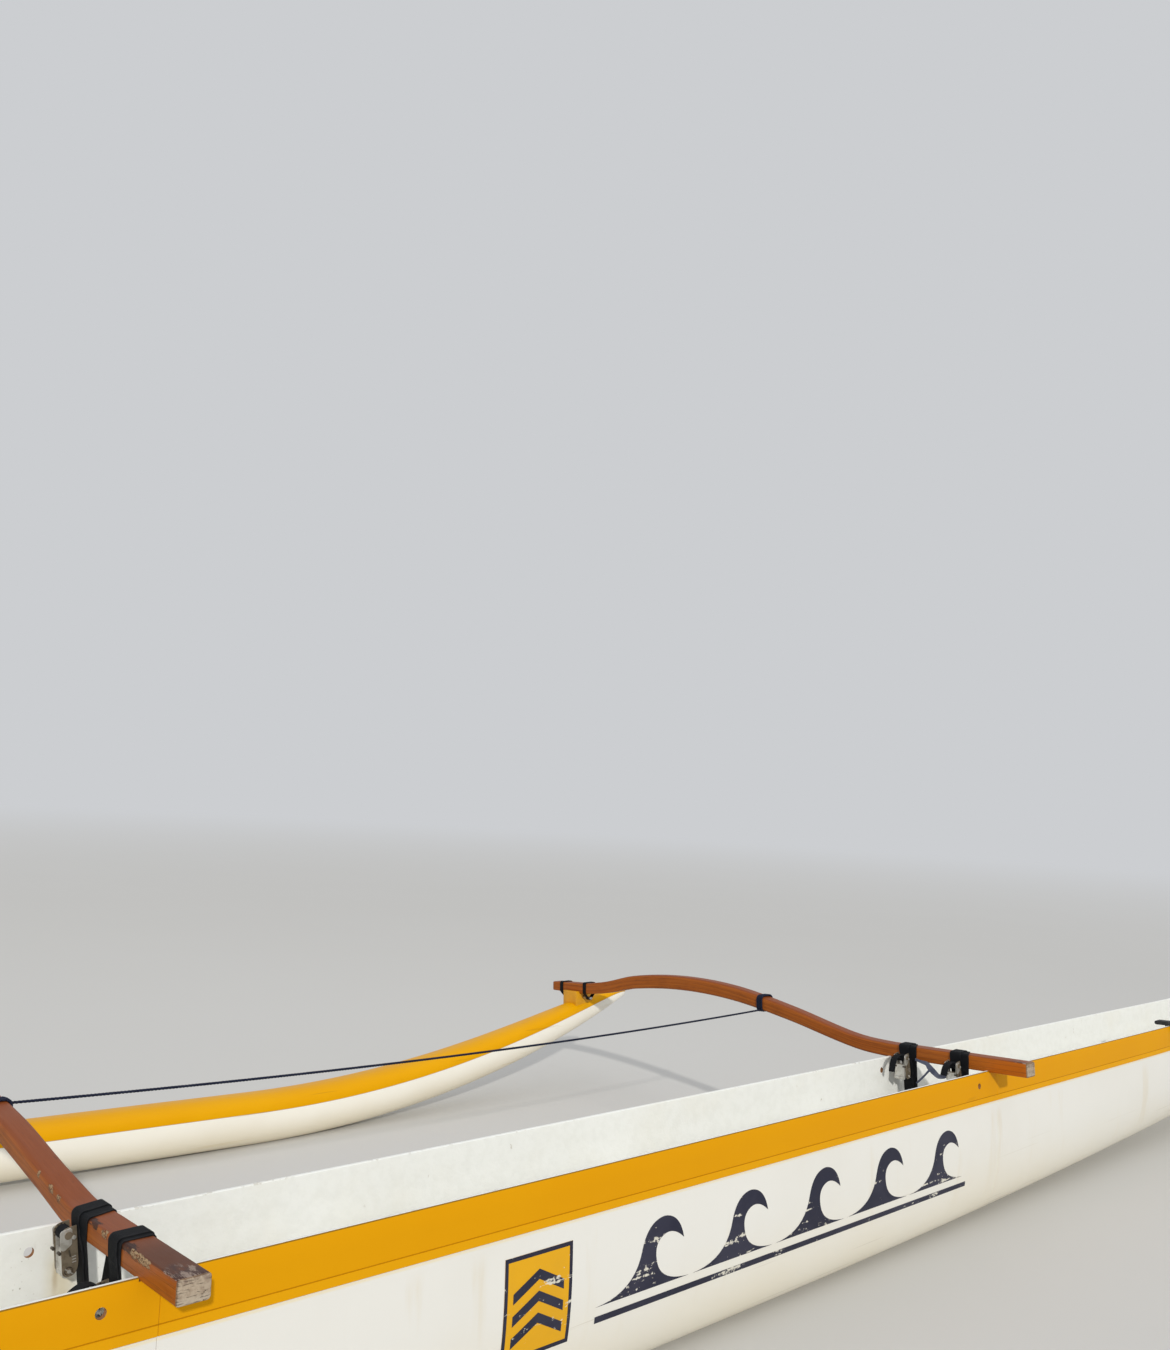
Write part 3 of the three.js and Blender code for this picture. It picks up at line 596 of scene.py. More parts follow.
def shell(name, first, last):
    rings = [(first, chamfered(first)), (first + EDGE, whole_ring(first + EDGE))]
    rings += [(x, whole_ring(x)) for x in stations(first, last)[1:-1]]
    rings += [(last - EDGE, whole_ring(last - EDGE)), (last, chamfered(last))]
    points = [(x, y, z) for x, ring in rings for y, z, _, _ in ring]
    uv = [(x, depth) for x, ring in rings for _, _, depth, _ in ring]
    paints = [point[3] for point in rings[0][1]]
    pairs = list(zip(paints, paints[1:] + paints[:1]))
    finish = [INNER if INNER in pair else min(pair) for pair in pairs] * (len(rings) - 1) + [CUT, CUT]
    faces = tube(len(rings), len(paints), clockwise=True)
    return build(name, points, faces, [WHITE, YELLOW, INSIDE, LAMINATE], finish, uv, smooth=28)


BOW_SEAM, STERN_SEAM, SEAM_GAP = 1.790, -1.748, 0.00015
shells = {
    "hull_bow_section": shell("bow_length", BOW_SEAM + SEAM_GAP, BOW["shell_end"]),
    "hull_mid_section": shell("middle_length", STERN_SEAM + SEAM_GAP, BOW_SEAM - SEAM_GAP),
    "hull_stern_section": shell("stern_length", -STERN["shell_end"], STERN_SEAM - SEAM_GAP),
}
bpy.context.view_layer.update()
for node, piece in shells.items():
    edit = bmesh.new()
    edit.from_mesh(piece.data)
    print(node, "volume in litres", round(edit.calc_volume(signed=True) * 1000, 1))
    edit.free()

# %% [markdown]
# ## Notches and holes
# The beams sit in shallow notches in the gunwales, and each side has a drilled hole near each beam
# for tying things down. Dark spots painted on would look flat from close by. A boatbuilder cuts
# them after moulding, and so does this cell, with Boolean modifiers whose cutters carry the bare
# laminate finish into the cut.

# %% Cut the notches and holes
IAKO_X = 1.760
IAKO_WIDTH = 0.071
PLAY = 0.0003
NOTCH = IAKO_WIDTH / 2 + PLAY
PAST_SIDES = 0.4
HOLE_RADIUS, HOLE_DEPTH = 0.0115, 0.051


def cutter(x, bottom, top=0.05):
    corners = [(x + end, y, z) for end in (-NOTCH, NOTCH)
               for y in (-PAST_SIDES, PAST_SIDES) for z in (bottom, top)]
    faces = [(0, 1, 3, 2), (4, 6, 7, 5), (0, 4, 5, 1), (2, 3, 7, 6), (0, 2, 6, 4), (1, 5, 7, 3)]
    return build("cutter", corners, faces, [LAMINATE])


def drill(x, sides=28):
    hole = circle(x, sheer(x) - HOLE_DEPTH, HOLE_RADIUS, sides)
    points = [(a, y, b) for y in (-PAST_SIDES, PAST_SIDES) for a, b in hole]
    return build("drill", points, tube(2, sides, clockwise=True), [LAMINATE])


def cut_away(piece, tools):
    for tool in tools:
        cut = piece.modifiers.new("cut", "BOOLEAN")
        cut.operation, cut.solver, cut.object = "DIFFERENCE", "EXACT", tool
        cut.material_mode = "TRANSFER"
    piece.data = worked_out(piece)
    piece.modifiers.clear()
    piece.data.set_sharp_from_angle(angle=math.radians(28))


tools = {
    "front": cutter(IAKO_X, -0.0133),
    "rear": cutter(-IAKO_X, -PLAY),
    "aft_hole": drill(-1.868),
    "fore_hole": drill(1.642),
}
cut_away(shells["hull_bow_section"], [tools["front"]])
cut_away(shells["hull_mid_section"], [tools["front"], tools["rear"], tools["fore_hole"]])
cut_away(shells["hull_stern_section"], [tools["rear"], tools["aft_hole"]])
for tool in tools.values():
    bpy.data.objects.remove(tool)
for node, piece in shells.items():
    finished(piece, "hull_white", node)

# %% [markdown]
# ## Painted marks on the starboard side
# Club canoes carry big painted marks amidships. This one gets a plain pattern of its own: a row of
# dark blue waves over a stripe, and a yellow panel with chevrons. On a real boat they're vinyl or
# paint, cut flat and pressed onto the curved side. The same is done here: each outline is drawn
# flat, cut into small squares so it can bend, and then laid on the hull as a skin 0.4 mm thick.

# %% Lay a flat outline on the hull
def side_point(x, depth, lift):
    """The point of the starboard side at x, that far below the gunwale, lifted off the surface."""
    beam, top, bottom, power = half_beam(x) - BAND_LAP, sheer(x), keel(x), section_power(x)
    start = top - BAND - BAND_LAP / 2

    def breadth(z):
        return beam * max(0.0, 1 - ((start - z) / (start - bottom)) ** power) ** (1 / power)

    z = top - depth
    slope = (breadth(z + 0.0005) - breadth(z - 0.0005)) / 0.001
    length = math.hypot(1, slope)
    return (x, -breadth(z) - lift / length, z - lift * slope / length)


def skin_of(name, outlines, finish, lift=0.0002, thick=0.0004, pitch=0.015):
    """Outlines of (x, depth) points laid on the starboard side as one thin skin."""
    flat = bmesh.new()
    for outline in outlines:
        flat.faces.new([flat.verts.new((x, depth, 0)) for x, depth in outline])
    bmesh.ops.triangulate(flat, faces=flat.faces)
    xs, depths = [[v.co[i] for v in flat.verts] for i in (0, 1)]
    for values, axis in ((xs, 0), (depths, 1)):
        step = math.ceil(min(values) / pitch) * pitch
        while step < max(values):
            place, normal = [0, 0, 0], [0, 0, 0]
            place[axis], normal[axis] = step, 1
            parts = flat.verts[:] + flat.edges[:] + flat.faces[:]
            bmesh.ops.bisect_plane(flat, geom=parts, plane_co=place, plane_no=normal)
            step += pitch
    flat.verts.index_update()
    low = [side_point(v.co.x, v.co.y, lift) for v in flat.verts]
    high = [side_point(v.co.x, v.co.y, lift + thick) for v in flat.verts]
    count = len(low)
    faces = []
    for face in flat.faces:
        corners = [v.index for v in face.verts]
        faces += [tuple(corners), tuple(c + count for c in reversed(corners))]
    for edge in flat.edges:
        if len(edge.link_faces) == 1:
            loop = edge.link_loops[0]
            a, b = loop.vert.index, loop.link_loop_next.vert.index
            faces.append((b, a, a + count, b + count))
    flat_points = [(v.co.x, v.co.y) for v in flat.verts]
    flat.free()
    return faced_outward(build(name, low + high, faces, [finish], None, flat_points * 2, smooth=40))


# %% Worn paint for the marks
def worn_paint(name, base, faded):
    skin = Finish(name, Specular_IOR_Level=0.2)
    cloudy = skin.noise(5, 4)
    scraped = skin.noise(34, 4, 0.65, stretch=(0.16, 1, 1.3))
    flakes = skin.noise(60, 5, 0.7)
    bare = (scraped * 0.6 + flakes * 0.4 + cloudy * 0.16).rises(0.66, 0.69)
    skin.layers(base, (cloudy.rises(0.4, 0.7) * 0.6, faded), (bare * 0.9, rgb(222, 218, 204)))
    skin.drive("Roughness", 0.42 + cloudy * 0.15 + bare * 0.1)
    skin.bump(cloudy * 0.5 - bare * 0.1, 0.002, 0.3)
    return skin.material


NAVY_PAINT = worn_paint("worn navy paint", rgb(40, 41, 58), rgb(62, 62, 78))
PANEL_YELLOW = worn_paint("worn yellow paint", rgb(226, 168, 24), rgb(214, 160, 40))
print("paints", NAVY_PAINT.name, PANEL_YELLOW.name)


# %% Waves, stripe and chevrons
def bow_of(start, bend, end, steps=10):
    """Points on a curve from start to end, pulled towards bend, without the start."""
    return [tuple((1 - t) ** 2 * a + 2 * t * (1 - t) * b + t * t * c for a, b, c in zip(start, bend, end))
            for t in (i / steps for i in range(1, steps + 1))]


def wave(x, low, length, height):
    """A breaking wave: a hollow back, a round crest that curls over, and a hollow front."""
    turns = [((0.42, 0.02), (0.50, 0.60)), ((0.56, 0.98), (0.76, 1.00)), ((0.95, 0.98), (1.00, 0.60)),
             ((0.88, 0.78), (0.78, 0.74)), ((0.62, 0.66), (0.68, 0.34)), ((0.74, 0.03), (1.08, 0.0))]
    outline = [(x, low)]
    for bend, end in turns:
        bend, end = [(x + length * u, low - height * v) for u, v in (bend, end)]
        outline += bow_of(outline[-1], bend, end)
    return outline


def band_of(x0, x1, low, high):
    return [(x0, low), (x0, high), (x1, high), (x1, low)]


def chevron(x0, x1, low, rise, thick):
    foot = [(x0, low), ((x0 + x1) / 2, low - rise), (x1, low)]
    return foot + [(x, depth - thick) for x, depth in reversed(foot)]


WAVES = 5
WAVE_LENGTH, WAVE_HEIGHT, WAVE_PITCH = 0.355, 0.190, 1.135
FIRST_WAVE, WAVE_FOOT = -0.50, 0.376
waves = [wave(FIRST_WAVE + i * WAVE_LENGTH * WAVE_PITCH, WAVE_FOOT, WAVE_LENGTH, WAVE_HEIGHT)
         for i in range(WAVES)]
stripe = [band_of(FIRST_WAVE, 1.53, 0.420, 0.402)]
finished(skin_of("wave_marks", waves + stripe, NAVY_PAINT), "hull_white")
PANEL = (-0.832, -0.596, 0.440, 0.178)
finished(skin_of("panel_mark", [band_of(*PANEL)], PANEL_YELLOW), "hull_white")
x0, x1, low, high = PANEL
edge = 0.011
lines = [band_of(x0, x1, low, low - edge), band_of(x0, x1, high + edge, high),
         band_of(x0, x0 + edge, low - edge, high + edge), band_of(x1 - edge, x1, low - edge, high + edge)]
lines += [chevron(x0 + 0.03, x1 - 0.03, low - 0.035 - 0.055 * i, 0.045, 0.026) for i in range(3)]
finished(skin_of("panel_lines", lines, NAVY_PAINT, lift=0.0007), "hull_white")

# %% [markdown]
# ## Stems and decks
# The ends of the hull close in solid stems, and a crowned deck covers each end, bonded down on the
# gunwales. They could be carved from blocks, but lofting them from the hull's own lines makes them
# meet it exactly. The deck's edge is rounded over.

# %% The crown of the decks, and the two stems
DECK_THICK = 0.008
CROWN = 0.22


def deck_height(x, across):
    return sheer(x) + 0.0003 + DECK_THICK + CROWN * half_beam(x) * (1 - across ** 2)


def loft(name, rings, finishes, paints=None):
    """Join closed rings of (x, y, z, along, depth) with flat ends."""
    points = [p[:3] for ring in rings for p in ring]
    uv = [p[3:] for ring in rings for p in ring]
    count = len(rings[0])
    finish = (paints or [0] * count) * (len(rings) - 1) + [0, 0]
    return build(name, points, tube(len(rings), count, clockwise=True), finishes, finish, uv)


TOP_STEPS, STEM_STEPS, DECK_STEPS = 12, 22, 24


def stem_ring(x):
    outside = [p for p in half_ring(x) if p[3] < INNER]
    port = [(x, y, z, x, depth) for y, z, depth, _ in outside]
    starboard = [(x, -y, z, x, depth) for y, z, depth, _ in reversed(outside[1:])]
    beam = half_beam(x)
    top = []
    for i in range(TOP_STEPS + 1):
        across = 1 - 2 * i / TOP_STEPS
        edge = 0.001 if abs(across) == 1 else 0
        top.append((x, beam * across * 0.985, deck_height(x, across) - edge, x, 0.01))
    return port + top + starboard


def stem(name, end):
    start = end["shell_end"] + 0.0003
    cuts = [start + (end["tip"] - start) * (i / STEM_STEPS) for i in range(STEM_STEPS + 1)]
    outside = [p[3] for p in half_ring(0) if p[3] < INNER]
    side = [min(pair) for pair in zip(outside, outside[1:])]
    paints = side + [OUTER] * (TOP_STEPS + 2) + side[::-1]
    return loft(name, [stem_ring(x) for x in sorted(end["side"] * x for x in cuts)], [WHITE, YELLOW], paints)


finished(stem("bow_end", BOW), "hull_white", "bow_stem")
finished(stem("stern_end", STERN), "hull_white", "stern_stem")


# %% The two decks
def deck_ring(x):
    beam = half_beam(x)
    above, below = [], []
    for i in range(DECK_STEPS + 1):
        across = 1 - 2 * i / DECK_STEPS
        y = beam * across
        edge = 0.003 * (1 - min(1, (1 - abs(across)) * beam / 0.006)) ** 2
        above.append((x, y, deck_height(x, across) - edge, x, 0.01))
        below.append((x, y * 0.995, deck_height(x, across) - DECK_THICK, x, 0.012))
    return above + below[::-1]


for where, cuts in (("fore", stations(BOW["deck_start"], BOW["shell_end"])),
                    ("aft", stations(-STERN["shell_end"], -STERN["deck_start"]))):
    deck = loft(f"{where}_deck_plate", [deck_ring(x) for x in cuts], [WHITE])
    finished(deck, "hull_white", f"{where}_deck")

# %% [markdown]
# ## The cross beams
# An iako is laminated from long strips of wood, sanded round at its corners and varnished. Varnish
# wears first on the corners and at the ends, where bare wood turns pale and then grey. The beam is
# a loft along its length. Grain cut straight through a bent beam would run out at its sides, so
# every point carries its place in the straightened beam, and the grain follows the curve as real
# fibres do.

# %% Where each beam is
# Distance to port, then thickness and height of the middle, of the front beam and of the rear one.
IAKO_TABLE = [
    (0, 58, 16, 50, 25), (200, 58, 16, 50, 25), (240, 58, 16, 50, 28), (380, 58, 25, 52, 49),
    (500, 58, 46, 54, 67), (800, 62, 116, 60, 111), (1150, 68, 178, 68, 135), (1500, 70, 197, 70, 125),
    (1850, 70, 173, 70, 71), (2080, 64, 125, 64, -9), (2250, 58, 104, 58, -79), (2400, 54, 99, 54, -109),
    (2530, 50, 97, 50, -117),
]
# Place along the boat, overhang past the starboard gunwale, and the two columns of the table.
IAKOS = {"front": (IAKO_X, 0.166, 1, 2), "rear": (-IAKO_X, 0.185, 3, 4)}
IAKO_CORNER = 0.007


def iako_at(where, y):
    """(thickness, height of the middle) of a beam at y, on a smooth curve through the table."""
    thickness, height = IAKOS[where][2:]
    y = clamp(y * 1000, IAKO_TABLE[0][0], IAKO_TABLE[-1][0])
    i = 0
    while i < len(IAKO_TABLE) - 2 and IAKO_TABLE[i + 1][0] < y:
        i += 1
    span = IAKO_TABLE[i + 1][0] - IAKO_TABLE[i][0]
    t = (y - IAKO_TABLE[i][0]) / span

    def slope(row, column):
        low, high = IAKO_TABLE[max(row - 1, 0)], IAKO_TABLE[min(row + 1, len(IAKO_TABLE) - 1)]
        return (high[column] - low[column]) / (high[0] - low[0])

    def read(column):
        near, far = IAKO_TABLE[i][column], IAKO_TABLE[i + 1][column]
        leaving, arriving = span * slope(i, column), span * slope(i + 1, column)
        return ((2 * t ** 3 - 3 * t ** 2 + 1) * near + (t ** 3 - 2 * t ** 2 + t) * leaving
                + (3 * t ** 2 - 2 * t ** 3) * far + (t ** 3 - t ** 2) * arriving) / 1000

    return read(thickness), read(height)


def corner_at(y):
    """Corners are square where a beam is strapped down, and sanded rounder from hull to float."""
    return IAKO_CORNER + 0.007 * clamp((y - 0.24) / 0.20) * clamp((2.05 - y) / 0.2)


print("rear beam over the hull", iako_at("rear", 0))


# %% Varnished wood
# Where the varnish has come off the rear beam's after edge: from, to, and how softly it ends.
BARE_PATCHES = [(-0.275, -0.195, 0.02), (-0.045, -0.020, 0.008), (0.266, 0.280, 0.008),
                (0.320, 0.345, 0.012), (0.425, 0.434, 0.006)]


def varnished_wood():
    wood = Finish("varnished wood", Specular_IOR_Level=0.16)
    along, across, height = wood.parts(wood.named("grain"))
    fore_or_aft, _, _ = wood.parts(wood.place())
    front = fore_or_aft.rises(-0.1, 0.1)
    lie = wood.vector(along + front * 5, across, height)
    _, _, up = wood.parts(wood.output("ShaderNodeTexCoord", "Normal"))
    # top picks the faces that point up. Their darker, cooler colours below are painted shade: the tops face
    # the sky while the low sun lights the sides. The same mask also picks the tops for weathering.
    top = up.rises(0.45, 0.80)
    streak = wood.noise(1, 5, 0.65, lie, (3.2, 150, 150))
    pores = wood.noise(1, 3, 0.6, lie, (14, 620, 620))
    wander = wood.noise(1, 2, 0.5, lie, (2.2, 7, 7))
    rings = (across * 260 + height * 330 + wander * 26).sine() * 0.5 + 0.5
    lines = wood.noise(1, 4, 0.6, lie, (1.6, 30, 260)).rises(0.56, 0.64)
    glue = (abs(height) - 0.0105).calculate("ABSOLUTE").falls(0.0004, 0.0011)
    blotch = wood.noise(1, 4, 0.6, lie, (9, 22, 22))
    wear = wood.noise(1, 6, 0.75, lie, (26, 90, 90))
    grit = wood.noise(1, 3, 0.7, lie, (150, 330, 330))
    worn = sum((along.within(*patch) for patch in BARE_PATCHES), 0.0)
    corner = across.falls(-0.0345, -0.028) * (height + grit * 0.02).rises(0.017, 0.022)
    patch = worn.at_most(1.0) * front.falls(0, 1) * corner
    chips = (wear + patch * 0.16).rises(0.60, 0.615) * patch.rises(0.1, 0.4)
    rim = (wear + patch * 0.16).rises(0.555, 0.575) * patch.rises(0.1, 0.4)
    stain = along.within(-0.185, -0.135, 0.03) + along.within(0.025, 0.070, 0.03)
    stain = stain * front.falls(0, 1) * across.near(-0.031, 0.02) * height.rises(0.006, 0.018)
    stain = (wear + stain * 0.3).rises(0.66, 0.72) * stain.rises(0.05, 0.3)
    end = along.falls(-0.42, -0.30)
    weather = (wear + end * 0.10).rises(0.58, 0.63) * end.rises(0.05, 0.5) * up.rises(0.3, 0.7)
    weather_dark = (blotch + end * 0.12).rises(0.50, 0.60) * end.rises(0.02, 0.3) * top
    knots = wood.noise(1, 3, 0.5, lie, (7, 30, 30)).rises(0.70, 0.76)
    # Painted sunlight: the front beam is drawn in a brighter orange from its starboard end, fading out across
    # the hull.
    painted_sunlight = along.falls(-0.34, 0.1) * front
    wood.layers(
        rgb(160, 86, 27),
        (rings * 0.42, rgb(138, 71, 22)),
        (streak.rises(0.4, 0.7) * 0.5, rgb(178, 104, 38)),
        (blotch.rises(0.5, 0.75) * 0.4, rgb(122, 62, 22)),
        (painted_sunlight * 0.75, rgb(186, 99, 12)),
        (pores.rises(0.58, 0.70) * 0.5, rgb(82, 40, 18)),
        (lines * 0.5, rgb(92, 44, 18)),
        (glue * 0.45, rgb(98, 50, 24)),
        # Painted shade on the tops, with their grain drawn in it (this line and the next two).
        (top * 0.85, rgb(132, 66, 30)),
        (top * streak.rises(0.45, 0.75) * 0.3, rgb(150, 82, 46)),
        (top * pores.rises(0.56, 0.68) * 0.3, rgb(88, 46, 30)),
        (top * front.falls(0, 1) * along.falls(-0.26, -0.05) * 0.8, rgb(82, 48, 30)),
        (knots * 0.45, rgb(84, 40, 22)),
        (stain * 0.85, rgb(40, 24, 20)),
        (weather_dark * 0.7, rgb(62, 44, 42)),
        (weather * 0.8, rgb(164, 146, 134)),
        (rim * 0.75, rgb(74, 42, 26)),
        (chips * 0.85, rgb(180, 152, 116)),
        (chips * grit.rises(0.50, 0.57) * 0.85, rgb(88, 66, 50)),
    )
    wood.drive("Roughness", 0.38 + blotch * 0.14 + chips * 0.3 + weather * 0.3)
    grooves = chips * 0.6 + glue * 0.3 + weather * 0.4 + stain * 0.2
    wood.bump(streak * 0.25 + pores * 0.2 - grooves, 0.0016, 0.6)
    return wood.material


# %% Weathered end grain
def end_grain():
    wood = Finish("weathered end grain", Specular_IOR_Level=0.2)
    along, across, height = wood.parts(wood.named("grain"))
    fore_or_aft, _, _ = wood.parts(wood.place())
    lie = wood.vector(along + fore_or_aft, across, height)
    edge = (abs(across) / 0.0355).at_least(abs(height) / 0.025)
    ragged = wood.noise(1, 4, 0.6, lie, (3, 90, 90))
    lines = wood.noise(1, 4, 0.7, lie, (3, 24, 250))
    spots = wood.noise(1, 4, 0.6, lie, (3, 70, 130))
    wood.layers(
        rgb(176, 160, 140),
        (ragged.rises(0.42, 0.66) * 0.7, rgb(146, 128, 110)),
        (height.falls(-0.02, -0.004) * 0.35, rgb(196, 186, 168)),
        (height.rises(0.009, 0.021) * ragged.rises(0.35, 0.6) * 0.7, rgb(128, 110, 98)),
        (lines.rises(0.58, 0.66) * 0.75, rgb(92, 76, 64)),
        (spots.rises(0.66, 0.70) * 0.9, rgb(54, 42, 36)),
        ((edge + ragged * 0.16).rises(0.99, 1.06) * 0.8, rgb(84, 60, 46)),
        ((edge + spots * 0.2).rises(1.02, 1.10) * 0.7, rgb(150, 122, 92)),
    )
    wood.drive("Roughness", 0.75 + ragged * 0.15)
    wood.bump(ragged * 0.3 - lines.rises(0.56, 0.66) - spots.rises(0.64, 0.7), 0.002, 0.8)
    return wood.material


WOOD, END_GRAIN = varnished_wood(), end_grain()
print("wood", WOOD.name, END_GRAIN.name)

# %% The two beams
def rounded_box(half_across, half_high, corner, steps):
    """Points (across, height) round a box, anticlockwise, its corners rounded outside those halves."""
    points = []
    for sx, sz, start in ((1, -1, 270), (1, 1, 0), (-1, 1, 90), (-1, -1, 180)):
        for i in range(steps + 1):
            angle = math.radians(start + 90 * i / steps)
            points.append(around(sx * half_across, sz * half_high, corner, angle))
    return points


# The last millimetres at each end of a beam: distance from the end, and how much is taken off.
END_ROUNDING = [(0.0, -0.0035), (0.0012, -0.0012), (0.004, 0.0)]


def beam(name, where):
    x, overhang, *_ = IAKOS[where]
    first, last = -HALF_BEAM - overhang, IAKO_TABLE[-1][0] / 1000
    rings = [(first + inset, grow) for inset, grow in END_ROUNDING]
    rings += [(y, 0.0) for y in stations(first + 0.02, last - 0.02, 0.02)]
    rings += [(last - inset, grow) for inset, grow in reversed(END_ROUNDING)]
    points, lie = [], []
    for y, grow in rings:
        thick, z = iako_at(where, y)
        less = grow - corner_at(y)
        for across, height in rounded_box(IAKO_WIDTH / 2 + less, thick / 2 + less, corner_at(y), 5):
            points.append((x + across, y, z + height))
            lie.append((y, across, height))
    count, spans = len(points) // len(rings), len(rings) - 1
    finish = [int(r < 2 or r > spans - 3) for r in range(spans) for _ in range(count)] + [1, 1]
    faces = tube(len(rings), count)
    piece = build(name, points, faces, [WOOD, END_GRAIN], finish, smooth=32)
    layer = piece.data.attributes.new("grain", "FLOAT_VECTOR", "POINT")
    layer.data.foreach_set("vector", [c for p in lie for c in p])
    return piece


for where in IAKOS:
    finished(beam(f"{where}_beam", where), "wood", f"{where}_iako")

# %% [markdown]
# ## The float
# The ama is a slim closed hull, yellow above its widest line and white below, with its nose swept
# up. Real ones are moulded in two halves and joined along the widest line. Its shape follows a
# rule, so Geometry Nodes make it: a flat grid is rolled up into rings, each ring a rounded section
# whose size and height depend only on its distance along. The named inputs reshape the whole float.

# %% Make a tree, wire it and run it
def geometry_tree(name, *inputs):
    """An empty Geometry Nodes tree with named number inputs."""
    tree = bpy.data.node_groups.new(name, "GeometryNodeTree")
    tree.interface.new_socket("Geometry", in_out="INPUT", socket_type="NodeSocketGeometry")
    for label, kind, value in inputs:
        socket = tree.interface.new_socket(label, in_out="INPUT", socket_type=kind)
        socket.default_value = value
    tree.interface.new_socket("Geometry", in_out="OUTPUT", socket_type="NodeSocketGeometry")
    return tree, tree.nodes.new("NodeGroupInput"), tree.nodes.new("NodeGroupOutput")


def wired(tree, kind, settings=None, **inputs):
    """A node with its settings, its inputs set or linked by name."""
    node = tree.nodes.new(kind)
    for key, value in (settings or {}).items():
        setattr(node, key, value)
    for label, value in inputs.items():
        socket = next(s for s in node.inputs if s.name == label.replace("_", " ") and s.enabled)
        if isinstance(value, Amount):
            value = value.socket
        if isinstance(value, bpy.types.NodeSocket):
            tree.links.new(value, socket)
        else:
            socket.default_value = value
    return node


def vector_sum(tree, operation, a, b):
    node = tree.nodes.new("ShaderNodeVectorMath")
    node.operation = operation
    second = node.inputs["Scale"] if operation == "SCALE" else node.inputs[1]
    for value, socket in ((a, node.inputs[0]), (b, second)):
        tree.links.new(value.socket if isinstance(value, Amount) else value, socket)
    return node.outputs[0]


def run_tree(source, tree, name, **values):
    """The plain mesh that a tree makes of an object, which is then removed."""
    modifier = source.modifiers.new("tree", "NODES")
    modifier.node_group = tree
    for item in tree.interface.items_tree:
        if item.in_out == "INPUT" and item.name in values:
            modifier[item.identifier] = values[item.name]
    mesh = worked_out(source)
    mesh.name = name
    bpy.data.objects.remove(source)
    return show(name, mesh)


# %% Lines of the float
AMA = {"Nose": 2.150, "Tail": -3.250, "Fullest": -0.5, "Nose Run": -0.286, "Tail Run": -1.4,
       "Nose Rise": 0.542, "Tail Rise": 0.110, "Half Beam": 0.105, "Deck Rise": 0.072, "Belly": 0.153,
       "Middle": 2.350, "Keel": -0.457}
print("float length", AMA["Nose"] - AMA["Tail"])


def float_tree(finish_above, finish_below):
    tree, start, end = geometry_tree(
        "float", *((name, "NodeSocketFloat", value) for name, value in AMA.items()),
        ("Rings", "NodeSocketInt", 130), ("Sides", "NodeSocketInt", 49))
    given = {name: Amount(tree, start.outputs[name]) for name in AMA}
    grid = wired(tree, "GeometryNodeMeshGrid", Size_X=1.0, Size_Y=1.0,
                 Vertices_X=start.outputs["Rings"], Vertices_Y=start.outputs["Sides"])
    flat = tree.nodes.new("ShaderNodeSeparateXYZ")
    tree.links.new(tree.nodes.new("GeometryNodeInputPosition").outputs[0], flat.inputs[0])
    above = Amount(tree, flat.outputs[1]).calculate("GREATER_THAN", 0.0)
    # Rings stand closer together towards both ends.
    run = ((Amount(tree, flat.outputs[0]) * math.pi).sine() + 1) * 0.5
    x = given["Tail"] + (given["Nose"] - given["Tail"]) * run
    turn = Amount(tree, flat.outputs[1]) * (2 * math.pi)
    ahead = (x - given["Fullest"]) / (given["Nose"] - given["Fullest"])
    behind = (given["Fullest"] - x) / (given["Fullest"] - given["Tail"])
    taper = (1 - ahead.at_least(behind) ** 3.4).at_least(0.0).calculate("SQRT").at_least(0.13)
    from_end = ((given["Nose"] - x).at_most(x - given["Tail"]) / 0.025).at_most(1.0)
    size = taper * (1 - (1 - from_end) ** 2).at_least(0.0).calculate("SQRT")
    fore = ((x - given["Nose Run"]) / (given["Nose"] - given["Nose Run"])).at_least(0.0)
    aft = ((given["Tail Run"] - x) / (given["Tail Run"] - given["Tail"])).at_least(0.0)
    rise = given["Nose Rise"] * fore ** 2 + given["Tail Rise"] * aft ** 2
    widest = given["Keel"] - x * 0.0235 + rise + given["Belly"] * taper
    c, s = turn.calculate("COSINE"), turn.sine()
    upper = s.calculate("GREATER_THAN", 0.0)
    high = given["Belly"] + (given["Deck Rise"] - given["Belly"]) * upper
    out = c.calculate("SIGN") * abs(c) ** 0.85 * given["Half Beam"] * size
    up = s.calculate("SIGN") * abs(s) ** 0.85 * high * size
    place, lie = [tree.nodes.new("ShaderNodeCombineXYZ") for _ in range(2)]
    for amount, socket in zip((x, given["Middle"] + out, widest + up), place.inputs):
        tree.links.new(amount.socket, socket)
    for amount, socket in zip((x, up), lie.inputs):
        tree.links.new(amount.socket, socket)
    noted = wired(tree, "GeometryNodeStoreNamedAttribute", {"data_type": "FLOAT_VECTOR", "domain": "POINT"},
                  Geometry=grid.outputs[0], Name="surface", Value=lie.outputs[0])
    white = wired(tree, "GeometryNodeSetMaterial", Geometry=noted.outputs[0], Material=finish_below)
    both = wired(tree, "GeometryNodeSetMaterial", Geometry=white.outputs[0], Material=finish_above,
                 Selection=above)
    rolled = wired(tree, "GeometryNodeSetPosition", Geometry=both.outputs[0], Position=place.outputs[0])
    closed = wired(tree, "GeometryNodeMergeByDistance", Geometry=rolled.outputs[0], Distance=0.0001)
    smooth = wired(tree, "GeometryNodeSetShadeSmooth", Geometry=closed.outputs[0])
    real = wired(tree, "GeometryNodeRealizeInstances", Geometry=smooth.outputs[0])
    tree.links.new(real.outputs[0], end.inputs[0])
    return tree


